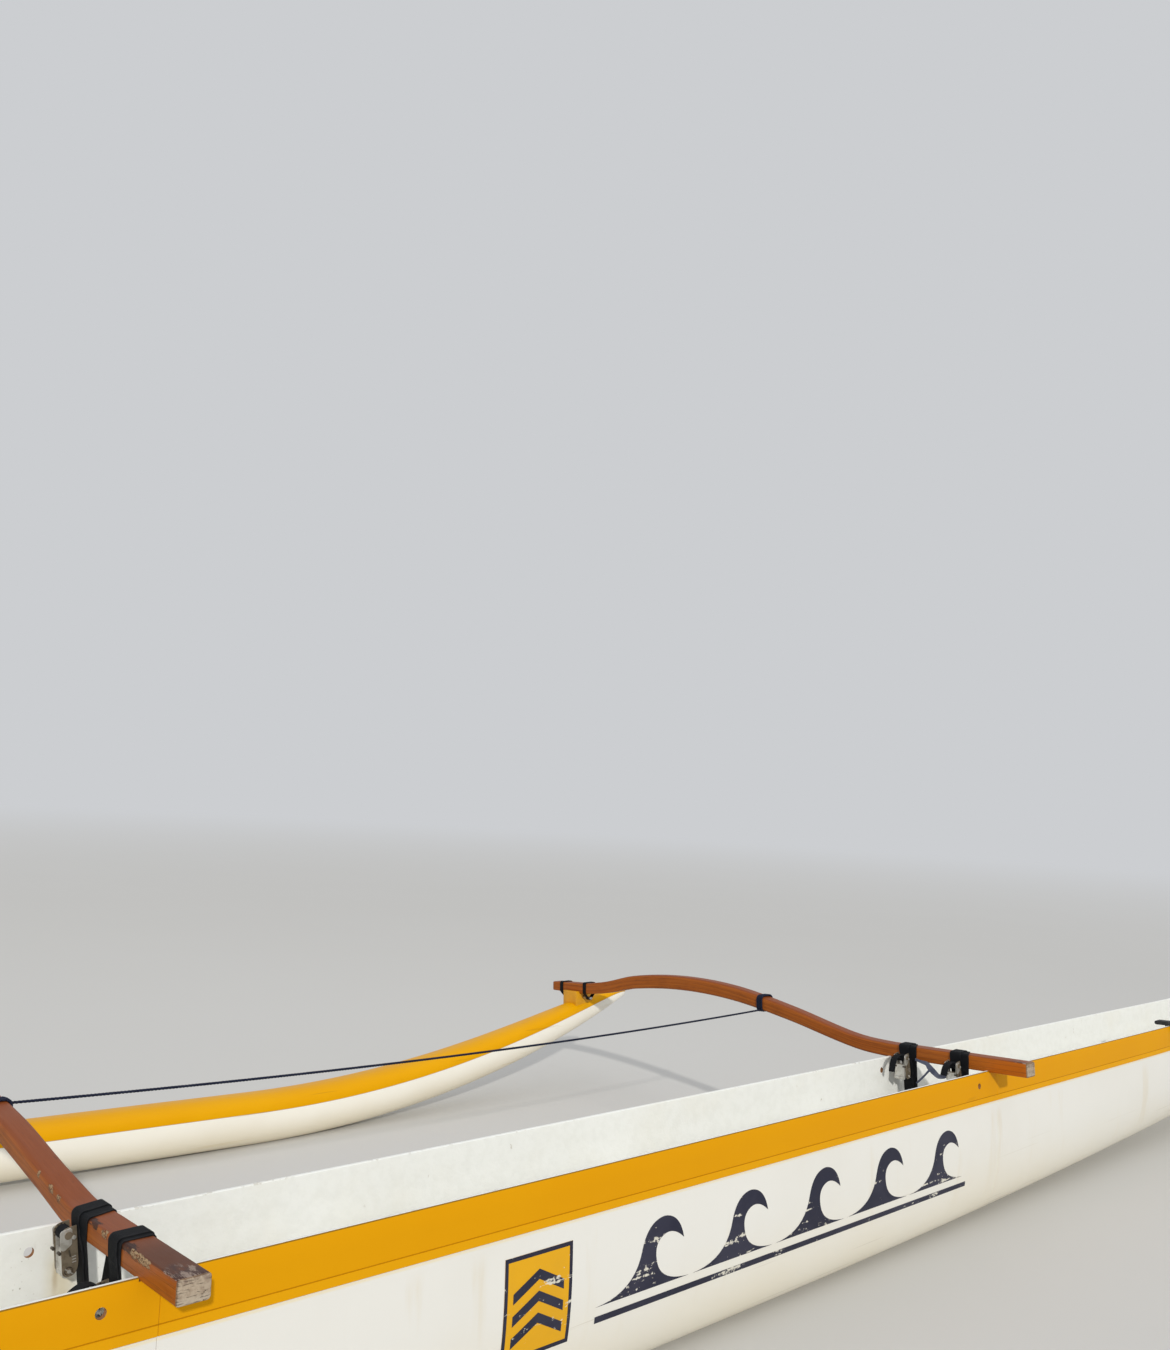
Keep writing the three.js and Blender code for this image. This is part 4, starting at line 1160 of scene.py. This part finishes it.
# %% Finishes of the float
def float_finish(name, base, worn, dirt):
    skin = Finish(name, Specular_IOR_Level=0.1)
    _, height, _ = skin.parts(skin.named("surface"))
    cloudy = skin.noise(2.2, 5)
    fine = skin.noise(40, 4)
    line = height.near(0.0, 0.0022)
    low = (cloudy * 0.05 - height).rises(0.04, 0.16)
    scratches = skin.noise(24, 2, stretch=(0.05, 1, 2)).rises(0.66, 0.70)
    skin.layers(base, (cloudy.rises(0.4, 0.7) * 0.4, worn), (low * 0.5, dirt), (scratches * 0.4, dirt),
                (line * 0.6, rgb(120, 96, 52)))
    skin.drive("Roughness", 0.3 + fine * 0.12 + low * 0.15)
    skin.bump(skin.noise(3, 2) + fine * 0.02, 0.005, 0.3)
    return skin.material


FLOAT_YELLOW = float_finish("float yellow", rgb(226, 162, 2), rgb(231, 170, 10), rgb(190, 136, 20))
FLOAT_WHITE = float_finish("float white", rgb(244, 241, 230), rgb(238, 234, 222), rgb(216, 202, 168))

# %% Roll up the float
blank = show("blank", bpy.data.meshes.new("blank"))
float_body = faced_outward(run_tree(blank, float_tree(FLOAT_YELLOW, FLOAT_WHITE), "float", **AMA))
finished(float_body, "float", "ama")

# %% [markdown]
# ## Webbing straps and ratchets
# Polyester straps go over each beam and round a tube inside the hull, and a steel ratchet on the
# after side pulls each one tight. A line drawn by hand would cut into the corners or stand off
# them, so a strap's line is worked out as a band pulled round circles: straight runs that touch
# each corner and the tube. The web is swept along that line as a thin rounded ribbon.

# %% The line of a band pulled tight round circles
def tangent(a, b):
    """The angle on circle a at which a band leaves it for circle b."""
    heading = math.atan2(b[1] - a[1], b[0] - a[0])
    return heading - math.acos((a[2] - b[2]) / math.hypot(b[0] - a[0], b[1] - a[1]))


def band_line(circles, grow, arc_step=15, run_step=0.012):
    """Points (x, z) of a closed band round circles (x, z, radius), listed anticlockwise."""
    line = []
    for i, (x, z, radius) in enumerate(circles):
        start = tangent(circles[i - 1], circles[i])
        end = tangent(circles[i], circles[(i + 1) % len(circles)])
        while end < start:
            end += 2 * math.pi
        steps = max(2, math.ceil((end - start) / math.radians(arc_step)))
        line += [around(x, z, radius + grow, start + (end - start) * k / steps) for k in range(steps + 1)]
    dense = []
    for (x0, z0), (x1, z1) in zip(line, line[1:] + line[:1]):
        gap = math.hypot(x1 - x0, z1 - z0)
        if gap < 1e-6:
            continue
        steps = max(1, math.ceil(gap / run_step))
        dense += [(x0 + (x1 - x0) * (k / steps), z0 + (z1 - z0) * (k / steps)) for k in range(steps)]
    return dense


def ribbon(name, line, width, thick, finish, lie):
    """A rounded flat web along a closed line of (x, z) points, lie(x, z) to port."""
    half, edge = width / 2, thick / 2
    soft = edge * 0.4
    section = [(-half + soft, edge), (-half, soft), (-half, -soft), (-half + soft, -edge), (0, -edge),
               (half - soft, -edge), (half, -soft), (half, soft), (half - soft, edge), (0, edge)]
    count, size = len(line), len(section)
    points, uv, run = [], [], 0.0
    for i, (x, z) in enumerate(line):
        before, after = line[i - 1], line[(i + 1) % count]
        tx, tz = after[0] - before[0], after[1] - before[1]
        length = math.hypot(tx, tz) or 1.0
        nx, nz = tz / length, -tx / length
        if i:
            run += math.hypot(x - before[0], z - before[1])
        for across, out in section:
            points.append((x + nx * out, lie(x, z) + across, z + nz * out))
            uv.append((run, across))
    faces = [tuple(corner % len(points) for corner in face) for face in walls(count + 1, size)]
    return faced_outward(build(name, points, faces, [finish], None, uv, smooth=50))


# %% Black webbing
def webbing(name, base, rib, dusty):
    web = Finish(name, Specular_IOR_Level=0.2)
    along, across, _ = web.parts(web.named("surface"))
    ribs = (across * 2 * math.pi / 0.0031).sine()
    picks = ((along + abs(across) * 0.35) * 2 * math.pi / 0.0024).sine()
    weave = ribs * 0.5 + picks * 0.35
    dust = web.noise(24, 4)
    edge = abs(across).rises(0.018, 0.025)
    web.layers(
        base,
        (weave.rises(-0.3, 0.7) * 0.35, rib),
        (dust.rises(0.5, 0.72) * 0.3, dusty),
        (edge * dust.rises(0.4, 0.6) * 0.3, rgb(58, 58, 60)),
    )
    web.drive("Roughness", 0.72 + dust * 0.15)
    web.bump(weave, 0.0005, 0.8)
    return web.material


WEB = webbing("black webbing", rgb(10, 12, 16), rgb(21, 24, 30), rgb(40, 42, 46))
FADED_WEB = webbing("faded webbing", rgb(92, 97, 118), rgb(108, 112, 130), rgb(126, 128, 136))
BAR_DROP, BAR_RADIUS = 0.185, 0.012
STRAP_WIDTH, STRAP_THICK = 0.050, 0.003
WRAP_GAP, WRAP_STEP = 0.0003, 0.0033
# Each strap's ratchet: its distance to port, and how far it hangs down its leg.
STRAPS = {
    "front_port": (0.156, -0.026), "front_starboard": (-0.089, -0.026),
    "rear_port": (0.134, -0.026), "rear_starboard": (-0.106, 0.040),
}
print("webs", WEB.name, FADED_WEB.name, "for", len(STRAPS), "straps")


def strap_circles(where):
    x = IAKOS[where][0]
    thick, z = iako_at(where, 0)
    h, e = thick / 2 - IAKO_CORNER, IAKO_WIDTH / 2 - IAKO_CORNER
    return [(x + e, z + h, IAKO_CORNER), (x - e, z + h, IAKO_CORNER), (x - e, z - h, IAKO_CORNER),
            (x, sheer(x) - BAR_DROP, BAR_RADIUS), (x + e, z - h, IAKO_CORNER)]


# %% [markdown]
# Each strap is wrapped twice: the web comes out of its ratchet, goes over the beam and round the
# tube, and once more beside it. The wraps fan out over the beam and run together down at the tube,
# so a strap is two slanting bands, and both are one piece.

# %% The four straps
# Each wrap's distance to port: after side over the beam and below it, then the fore side likewise.
WRAPS = {
    "front_port": [(0.121, 0.126, 0.156, 0.166), (0.156, 0.142, 0.166, 0.168)],
    "front_starboard": [(-0.126, -0.122, -0.094, -0.080), (-0.090, -0.094, -0.080, -0.076)],
    "rear_port": [(0.092, 0.090, 0.120, 0.094), (0.136, 0.106, 0.158, 0.098)],
    "rear_starboard": [(-0.112, -0.115, -0.112, -0.112), (-0.098, -0.112, -0.094, -0.110)],
}


def mix(a, b, share):
    return a + (b - a) * share


def slant(where, after_over, after_under, fore_over, fore_under):
    """How far to port a wrap lies at (x, z)."""
    x0, (_, z0) = IAKOS[where][0], iako_at(where, 0)

    def lie(x, z):
        fore = clamp((x - x0) / IAKO_WIDTH + 0.5)
        under = clamp((z0 + 0.02 - z) / 0.08)
        under = under * under * (3 - 2 * under)
        return mix(mix(after_over, after_under, under), mix(fore_over, fore_under, under), fore)

    return lie


def join(name, pieces):
    """Several pieces as one mesh."""
    edit = bmesh.new()
    slots = []
    for piece in pieces:
        before = len(edit.faces)
        edit.from_mesh(piece.data)
        edit.faces.ensure_lookup_table()
        for face in edit.faces[before:]:
            material = piece.data.materials[face.material_index]
            if material not in slots:
                slots.append(material)
            face.material_index = slots.index(material)
    mesh = bpy.data.meshes.new(name)
    for material in slots:
        mesh.materials.append(material)
    edit.to_mesh(mesh)
    edit.free()
    for piece in pieces:
        bpy.data.objects.remove(piece)
    return show(name, mesh)


for name in STRAPS:
    where = name.split("_")[0]
    bands = []
    for layer, shifts in enumerate(WRAPS[name]):
        line = band_line(strap_circles(where), WRAP_GAP + layer * WRAP_STEP + STRAP_THICK / 2)
        bands.append(ribbon("band", line, STRAP_WIDTH, STRAP_THICK * 0.9, WEB, slant(where, *shifts)))
    finished(join(f"{name}_webbing", bands), "webbing", f"{name}_strap")

# %% [markdown]
# A faded tie hangs in a curve under the front beam, from the port strap to the starboard ratchet,
# with a thin cord coming off it. A cloth simulation could hang them, but a line through a few
# points keeps them where they belong. Both are flat webs that narrow where they twist edge-on.

# %% The tie between the front straps
def loose_web(line, finish, thick=0.0022):
    """A flat web along (x, y, z, width) points, its width upright across the line, seen from aft."""
    points, uv, run = [], [], 0.0
    for i, (x, y, z, width) in enumerate(line):
        before, after = [Vector(line[k][:3]) for k in (max(i - 1, 0), min(i + 1, len(line) - 1))]
        along = (after - before).normalized()
        up = along.cross(Vector((1, 0, 0))).normalized()
        out = up.cross(along).normalized() * thick / 2
        run += (Vector((x, y, z)) - before).length
        for a, b in ((-1, -1), (1, -1), (1, 1), (-1, 1)):
            points.append(tuple(Vector((x, y, z)) + up * a * width / 2 + out * b))
            uv.append((run, a * width / 2))
    return faced_outward(build("part", points, tube(len(line), 4), [finish], None, uv, smooth=30))


def eased(corners, steps=5):
    """A smooth line through corner points."""
    line = []
    for i in range(len(corners) - 1):
        a, b, c, d = [corners[clamp(i + k, 0, len(corners) - 1)] for k in (-1, 0, 1, 2)]
        for step in range(steps):
            t = step / steps
            line.append(tuple(0.5 * (2 * q + (r - p) * t + (2 * p - 5 * q + 4 * r - s) * t * t
                                     + (3 * q - p - 3 * r + s) * t ** 3)
                              for p, q, r, s in zip(a, b, c, d)))
    return line + [corners[-1]]


# Along the boat, to port, height and width.
TIE = [(1.7165, 0.100, -0.004, 0.010), (1.704, 0.070, -0.007, 0.012), (1.700, 0.036, -0.012, 0.018),
       (1.700, 0.022, -0.026, 0.026), (1.700, 0.001, -0.043, 0.025), (1.700, -0.019, -0.056, 0.020),
       (1.701, -0.045, -0.056, 0.012), (1.702, -0.0635, -0.050, 0.009)]
CORD = [(1.699, 0.020, -0.034, 0.009), (1.704, 0.050, -0.063, 0.008), (1.712, 0.081, -0.090, 0.008),
        (1.720, 0.101, -0.104, 0.007)]
finished(join("front_tie", [loose_web(eased(line), FADED_WEB) for line in (TIE, CORD)]), "webbing")

# %% [markdown]
# ## Keep the hidden hardware, with finer edges
# Bulkheads, seats, saddles, rods and tubes have the right shape already, but their edges are
# knife sharp. A copy of the CAD mesh is merged and its edges are rounded with a Bevel modifier,
# as a file or a mould would round them.

# %% Round the edges of a CAD solid
def rounded_copy(node, name, width, finish, slot):
    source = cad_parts[node]
    edit = bmesh.new()
    edit.from_mesh(source.data)
    bmesh.ops.remove_doubles(edit, verts=edit.verts, dist=1e-5)
    bmesh.ops.dissolve_limit(edit, angle_limit=math.radians(1.5), verts=edit.verts, edges=edit.edges)
    mesh = bpy.data.meshes.new(name)
    edit.to_mesh(mesh)
    edit.free()
    mesh.transform(source.matrix_world)
    mesh.materials.clear()
    mesh.materials.append(finish)
    piece = show(name, mesh)
    bevel = piece.modifiers.new("edges", "BEVEL")
    bevel.width, bevel.segments = width, 2
    bevel.limit_method, bevel.angle_limit = "ANGLE", math.radians(30)
    piece.data = worked_out(piece)
    piece.modifiers.clear()
    piece.data.shade_smooth()
    piece.data.set_sharp_from_angle(angle=math.radians(35))
    return finished(piece, slot, node, upright=False)


def plain_paint(name, base, other, roughness, scale=14, depth=0.002, metallic=0.0):
    skin = Finish(name, Metallic=metallic)
    mottle = skin.noise(scale, 5)
    fine = skin.noise(scale * 9, 3)
    skin.layers(base, (mottle.rises(0.42, 0.68) * 0.7, other), (fine.rises(0.6, 0.74) * 0.25, other))
    skin.drive("Roughness", roughness + mottle * 0.15)
    skin.bump(mottle + fine * 0.2, depth, 0.4)
    return skin.material


SEAT_WHITE = plain_paint("seat gelcoat", rgb(226, 225, 217), rgb(206, 202, 190), 0.4)
STEEL = plain_paint("worn zinc steel", rgb(134, 122, 104), rgb(92, 78, 60), 0.34, 60, 0.0008, 0.4)
BRIGHT_STEEL = plain_paint("bright zinc steel", rgb(206, 204, 198), rgb(168, 162, 150), 0.26, 60, 0.0006, 0.6)
TUBE = plain_paint("aluminium tube", rgb(186, 188, 190), rgb(156, 156, 154), 0.3, 40, 0.0006, 0.9)
RUBBER = plain_paint("black rubber", rgb(28, 29, 31), rgb(58, 57, 56), 0.6, 30, 0.001)
SADDLE_YELLOW = plain_paint("saddle gelcoat", rgb(222, 160, 12), rgb(204, 146, 22), 0.36)
# The dark steel serves the ratchets' wheel, pin rings and spacer, and also paints shade into the slot of each
# cheek.
OILED_STEEL_AND_SHADE = plain_paint("dark oiled steel and painted shade", rgb(84, 76, 66), rgb(54, 44, 36), 0.42, 70, 0.0006, 0.5)
for number in range(1, 7):
    rounded_copy(f"seat_{number}", f"bench_{number}", 0.004, SEAT_WHITE, "hull_white")
for where in ("fore", "aft"):
    rounded_copy(f"{where}_bulkhead", f"{where}_bulkhead_plate", 0.002, SEAT_WHITE, "hull_white")
rounded_copy("splash_guard", "guard_rubber", 0.003, RUBBER, "guard")
rounded_copy("gunwale_pad", "gunwale_rubber", 0.003, RUBBER, "guard")
for where in ("front", "rear"):
    rounded_copy(f"{where}_strap_bar", f"{where}_strap_tube", 0.0015, TUBE, "tube")
    rounded_copy(f"{where}_ama_saddle", f"{where}_saddle", 0.003, SADDLE_YELLOW, "deck_yellow")
    rounded_copy(f"{where}_ama_rod", f"{where}_rod", 0.0015, TUBE, "tube")
    for place in ("inner", "outer"):
        rounded_copy(f"{where}_ama_strap_{place}", f"{where}_{place}_lashing", 0.0006, WEB, "webbing")

# %% [markdown]
# ## Ratchets
# A ratchet is a little winch: two steel cheeks hold a slotted drum, a toothed wheel and a pawl keep
# it from turning back, and a lever winds it. The web rolls up on the drum, and its loose end hangs
# out. Modelling it in one lump would blur its parts, so each is a plate or a rod of its own with a
# thin chamfer, listed in a table, and all are gathered into one piece.

# %% Plates and rods with chamfered edges
class Bench:
    """Gathers closed parts, drawn in x and z and thick in y, into one piece with several finishes."""

    def __init__(self):
        self.points, self.faces, self.finish, self.finishes = [], [], [], []

    def add(self, points, faces, finish):
        if finish not in self.finishes:
            self.finishes.append(finish)
        start = len(self.points)
        self.points += points
        self.faces += [tuple(start + i for i in face) for face in faces]
        self.finish += [self.finishes.index(finish)] * len(faces)

    def plate(self, outline, y0, y1, finish, edge=0.0005):
        inner = drawn_in(outline, edge)
        rings = [(inner, y0), (outline, y0 + edge), (outline, y1 - edge), (inner, y1)]
        points = [(x, y, z) for ring, y in rings for x, z in ring]
        self.add(points, tube(len(rings), len(outline)), finish)

    def rod(self, middle, radius, y0, y1, finish, sides=20, edge=0.0006):
        self.plate(circle(*middle, radius, sides), y0, y1, finish, edge)

    def piece(self, name, matrix):
        made = build(name, self.points, self.faces, self.finishes, self.finish, smooth=38)
        faced_outward(made).data.transform(matrix)
        return made


# %% The parts of a ratchet, lying along x from its drum
def rounded_plate(*corners, step=20):
    """The outline round corners (x, z, radius)."""
    return band_line(corners, 0, step, 0.03)


def cheek_outline():
    """A side plate, its foot and its back straight and three corners bent round."""
    outline = [(0.0, 0.0), (0.0763, 0.0)]
    outline += bow_of(outline[-1], (0.106, 0.002), (0.106, 0.0198), steps=6)
    outline += bow_of(outline[-1], (0.106, 0.036), (0.0901, 0.036), steps=6) + [(0.0212, 0.036)]
    return outline + bow_of(outline[-1], (0.0, 0.036), (0.0, 0.018), steps=6)


DRUM, PIN = (0.017, 0.019), (0.093, 0.0225)
TEETH = 12
TOOTH = [(0.0, 0.0165), (0.25, 0.0165), (0.35, 0.0135), (0.85, 0.0135)]  # share of its pitch, radius
WHEEL = [around(*DRUM, radius, 2 * math.pi * (i + share) / TEETH)
         for i in range(TEETH) for share, radius in TOOTH]
ROLL = [around(*DRUM, 0.0140 + 0.0018 * i / 28, 2 * math.pi * i / 28) for i in range(28)]
SHIELD = rounded_plate((0.040, 0.030, 0.007), (0.010, 0.030, 0.007),
                       (0.008, 0.016, 0.006), (0.034, 0.018, 0.006))
# The slot in each cheek is not cut: a thin dark plate on the cheek stands for it, its darkness painted shade.
SLOT_SHADE = rounded_plate((0.062, 0.017, 0.002), (0.050, 0.019, 0.002), step=30)
CLIP = rounded_plate((0.100, 0.015, 0.0011), (0.086, 0.030, 0.0011), step=30)
# Plates on both sides that stay still: outline, from and to across the boat, finish and chamfer.
SIDE_PLATES = [
    (cheek_outline(), 0.0235, 0.0260, STEEL, 0.0005),
    (SLOT_SHADE, 0.0255, 0.02615, OILED_STEEL_AND_SHADE, 0.0001),
    (SHIELD, 0.0255, 0.0272, BRIGHT_STEEL, 0.0006),
    (WHEEL, 0.0224, 0.0234, OILED_STEEL_AND_SHADE, 0.0002),
    (CLIP, 0.0300, 0.0324, BRIGHT_STEEL, 0.0006),
]
for rib in (0.064, 0.070, 0.076):
    outline = [(rib, 0.005), (rib + 0.0022, 0.005), (rib + 0.0022, 0.014), (rib, 0.014)]
    SIDE_PLATES.append((outline, 0.0255, 0.0270, BRIGHT_STEEL, 0.0008))
# Rods on both sides: middle, radius, from and to across the boat, finish and number of sides.
SIDE_RODS = [
    (DRUM, 0.0085, 0.0255, 0.0290, STEEL, 20),
    ((0.024, 0.0075), 0.0048, 0.0255, 0.0295, BRIGHT_STEEL, 6),
    (PIN, 0.0092, 0.0255, 0.0266, OILED_STEEL_AND_SHADE, 20),
    (PIN, 0.0074, 0.0260, 0.0300, STEEL, 6),
    (PIN, 0.0042, 0.0295, 0.0325, BRIGHT_STEEL, 14),
    ((0.050, 0.0395), 0.0035, 0.0150, 0.0290, OILED_STEEL_AND_SHADE, 12),
]
LEVER = rounded_plate((0.084, 0, 0.0075), (0, 0, 0.0125))
GRIP = (0.084, 0)
HANDLE = [(0.030, 0.0060), (0.078, 0.0045), (0.078, 0.0062), (0.030, 0.0077)]
PAWL = [(0.026, -0.0035), (0.052, -0.0035), (0.054, 0.0), (0.050, 0.0045), (0.026, 0.0015)]
FOOT = [(0.050, 0.0006), (0.0740, 0.0006), (0.0740, 0.0026), (0.050, 0.0026)]
print("a ratchet has", 2 * len(SIDE_PLATES + SIDE_RODS), "side parts")


# %% Put one ratchet together, with its lever opened
def half_drum(side, radius=0.0082, half_slot=0.0008):
    """One of the two half-round bars that grip the web between them."""
    bar = [around(half_slot, DRUM[1], radius, math.radians(-80 + 20 * i)) for i in range(9)]
    return [(DRUM[0] + side * x, z) for x, z in bar]


def strip_of(line, half_thick=0.0013):
    """The anticlockwise outline of a web seen on edge along a line."""
    outer, inner = [], []
    for i, (x, z) in enumerate(line):
        (x0, z0), (x1, z1) = line[max(i - 1, 0)], line[min(i + 1, len(line) - 1)]
        length = math.hypot(x1 - x0, z1 - z0)
        nx, nz = (z1 - z0) / length * half_thick, -(x1 - x0) / length * half_thick
        outer.append((x + nx, z + nz))
        inner.append((x - nx, z - nz))
    strip = outer + inner[::-1]
    area = sum(a[0] * b[1] - b[0] * a[1] for a, b in zip(strip, strip[1:] + strip[:1]))
    return strip[::-1] if area < 0 else strip


def ratchet(opened, tail):
    bench = Bench()
    c, s = math.cos(math.radians(opened)), math.sin(math.radians(opened))

    def swung(outline):
        return [(DRUM[0] + x * c - z * s, DRUM[1] + x * s + z * c) for x, z in outline]

    lever = (swung(LEVER), 0.0196, 0.0220, BRIGHT_STEEL, 0.0005)
    for side in (-1, 1):
        for outline, near, far, finish, edge in [*SIDE_PLATES, lever]:
            bench.plate(outline, *sorted((side * near, side * far)), finish, edge)
        for middle, radius, near, far, finish, sides in SIDE_RODS:
            bench.rod(middle, radius, *sorted((side * near, side * far)), finish, sides)
        bench.plate(half_drum(side), -0.0225, 0.0225, STEEL, 0.0002)
    bench.plate(ROLL, -0.0192, 0.0192, WEB, 0.0015)
    bench.rod(PIN, 0.006, -0.0235, 0.0235, STEEL)
    bench.rod(PIN, 0.0092, -0.0190, 0.0190, WEB, edge=0.0012)
    bench.plate(swung(HANDLE), -0.0197, 0.0197, BRIGHT_STEEL)
    bench.rod(swung([GRIP])[0], 0.0070, -0.0196, 0.0196, BRIGHT_STEEL)
    bench.plate(swung(PAWL), -0.0150, 0.0150, STEEL)
    bench.plate(FOOT, -0.0235, 0.0235, STEEL)
    if tail:
        bench.plate(strip_of(tail), -0.0150, 0.0150, WEB, 0.0004)
    return bench


# %% Hang the four ratchets, three of them with their web ends loose
def ratchet_matrix(where, y, slide):
    """Where a ratchet hangs: down the after leg of its strap, facing aft."""
    corner, bar = strap_circles(where)[2:4]
    normal = tangent(corner, bar)
    away = corner[2] + 2 * STRAP_THICK + 0.0012
    place = Vector((corner[0] + away * math.cos(normal) - slide * math.sin(normal), y,
                    corner[1] + away * math.sin(normal) + slide * math.cos(normal)))
    turn = Matrix.Rotation(math.pi / 2 - normal, 4, "Y") @ Matrix.Rotation(math.pi, 4, "Z")
    return Matrix.Translation(place) @ turn


def loose_end(length, bend, start=118, steps=12):
    """A web end that comes out of the drum, rises and falls over in a curve."""
    points, x, z, angle = [], DRUM[0] - 0.012, DRUM[1] + 0.008, math.radians(start)
    for i in range(steps + 1):
        points.append((x, z))
        angle -= math.radians(bend) * min(1, 2.2 - 2.2 * i / steps) / steps
        x += length / steps * math.cos(angle)
        z += length / steps * math.sin(angle)
    return points


# How far each lever stands open in degrees, and its loose web end.
LEVERS = {"front_port": (20, loose_end(0.108, 120)), "front_starboard": (14, loose_end(0.088, 105)),
          "rear_port": (6, None), "rear_starboard": (7, loose_end(0.078, 125, 160))}
for name, (y, slide) in STRAPS.items():
    hung = ratchet_matrix(name.split("_")[0], y, slide)
    finished(ratchet(*LEVERS[name]).piece(f"{name}_buckle", hung), "steel", f"{name}_ratchet")

# %% [markdown]
# ## Laid rope
# The line between the beams is a three-strand rope. Its strands follow the line and wind round one
# another, which is a rule, so Geometry Nodes make it: the line is copied three times, each copy is
# pushed off the middle at an angle that grows along the line, and a round section is swept along
# it. The same tree makes the turns round the beams.

# %% A curve for a tree to follow
def path_curve(lines):
    """A curve object that follows one or more lists of points."""
    data = bpy.data.curves.new("path", "CURVE")
    data.dimensions = "3D"
    for line in lines:
        spline = data.splines.new("POLY")
        spline.points.add(len(line) - 1)
        spline.points.foreach_set("co", [c for p in line for c in (*p, 1.0)])
    return show("path", data)


# %% The rope tree
def rope_tree(finish):
    tree, start, end = geometry_tree(
        "laid rope", ("Rope Radius", "NodeSocketFloat", 0.006), ("Lay", "NodeSocketFloat", 0.05),
        ("Strands", "NodeSocketInt", 3), ("Step", "NodeSocketFloat", 0.006))
    even = wired(tree, "GeometryNodeResampleCurve", {"mode": "LENGTH"},
                 Curve=start.outputs["Geometry"], Length=start.outputs["Step"])
    copies = wired(tree, "GeometryNodeDuplicateElements", {"domain": "SPLINE"},
                   Geometry=even.outputs[0], Amount=start.outputs["Strands"])
    along = Amount(tree, tree.nodes.new("GeometryNodeSplineParameter").outputs["Length"])
    strand = Amount(tree, copies.outputs["Duplicate Index"])
    radius = Amount(tree, start.outputs["Rope Radius"])
    lay, strands = [Amount(tree, start.outputs[name]) for name in ("Lay", "Strands")]
    angle = (along / lay + strand / strands) * (2 * math.pi)
    normal = tree.nodes.new("GeometryNodeInputNormal").outputs[0]
    tangent = tree.nodes.new("GeometryNodeInputTangent").outputs[0]
    sideways = vector_sum(tree, "CROSS_PRODUCT", tangent, normal)
    out = vector_sum(tree, "SCALE", normal, angle.calculate("COSINE") * radius * 0.5)
    over = vector_sum(tree, "SCALE", sideways, angle.sine() * radius * 0.5)
    moved = wired(tree, "GeometryNodeSetPosition", Geometry=copies.outputs["Geometry"],
                  Offset=vector_sum(tree, "ADD", out, over))
    section = wired(tree, "GeometryNodeCurvePrimitiveCircle", Resolution=8, Radius=radius * 0.54)
    swept = wired(tree, "GeometryNodeCurveToMesh", Curve=moved.outputs[0],
                  Profile_Curve=section.outputs[0], Fill_Caps=True)
    smooth = wired(tree, "GeometryNodeSetShadeSmooth", Geometry=swept.outputs[0])
    real = wired(tree, "GeometryNodeRealizeInstances", Geometry=smooth.outputs[0])
    painted = wired(tree, "GeometryNodeSetMaterial", Geometry=real.outputs[0], Material=finish)
    tree.links.new(painted.outputs[0], end.inputs[0])
    return tree


def rope_finish():
    rope = Finish("navy rope", Specular_IOR_Level=0.2)
    fibres = rope.noise(420, 3)
    faded = rope.noise(12, 4)
    rope.layers(rgb(22, 27, 46), (fibres.rises(0.4, 0.65) * 0.6, rgb(40, 47, 72)),
                (faded.rises(0.5, 0.7) * 0.35, rgb(60, 64, 80)))
    rope.drive("Roughness", 0.75 + fibres * 0.15)
    rope.bump(fibres, 0.0006, 0.7)
    return rope.material


ROPE = rope_tree(rope_finish())
ROPE_RADIUS, ROPE_Y, ROPE_SAG, ROPE_LAY, ROPE_TURNS = 0.0045, 0.960, 0.030, 0.034, 4
REAR_HEIGHT, FRONT_HEIGHT = 0.148, 0.116
print("rope tree", len(ROPE.nodes), "nodes")

# %% The line and its turns round the beams
def wound(where, turns):
    """A rope's path round a beam, a rope's breadth further along it each turn."""
    thick, z = iako_at(where, ROPE_Y)
    x, corner = IAKOS[where][0], corner_at(ROPE_Y)
    ring = rounded_box(IAKO_WIDTH / 2 - corner, thick / 2 - corner, corner + ROPE_RADIUS, 4)
    path = []
    for i in range(turns * len(ring) + 1):
        across, height = ring[i % len(ring)]
        path.append((x + across, ROPE_Y + ROPE_RADIUS * (2 * i / len(ring) - turns), z + height))
    return path


rope_end = IAKO_X - IAKO_WIDTH / 2 - ROPE_RADIUS
rear, front = (-rope_end, ROPE_Y, REAR_HEIGHT), (rope_end, ROPE_Y, FRONT_HEIGHT)
middle = (0.0, ROPE_Y, (REAR_HEIGHT + FRONT_HEIGHT) / 2 - 2 * ROPE_SAG)
line = [rear, *bow_of(rear, middle, front, steps=40)]
ropes = run_tree(path_curve([line, wound("front", ROPE_TURNS), wound("rear", ROPE_TURNS)]), ROPE, "beam_rope",
                 **{"Rope Radius": ROPE_RADIUS, "Lay": ROPE_LAY})
finished(ropes, "rope", "iako_line")
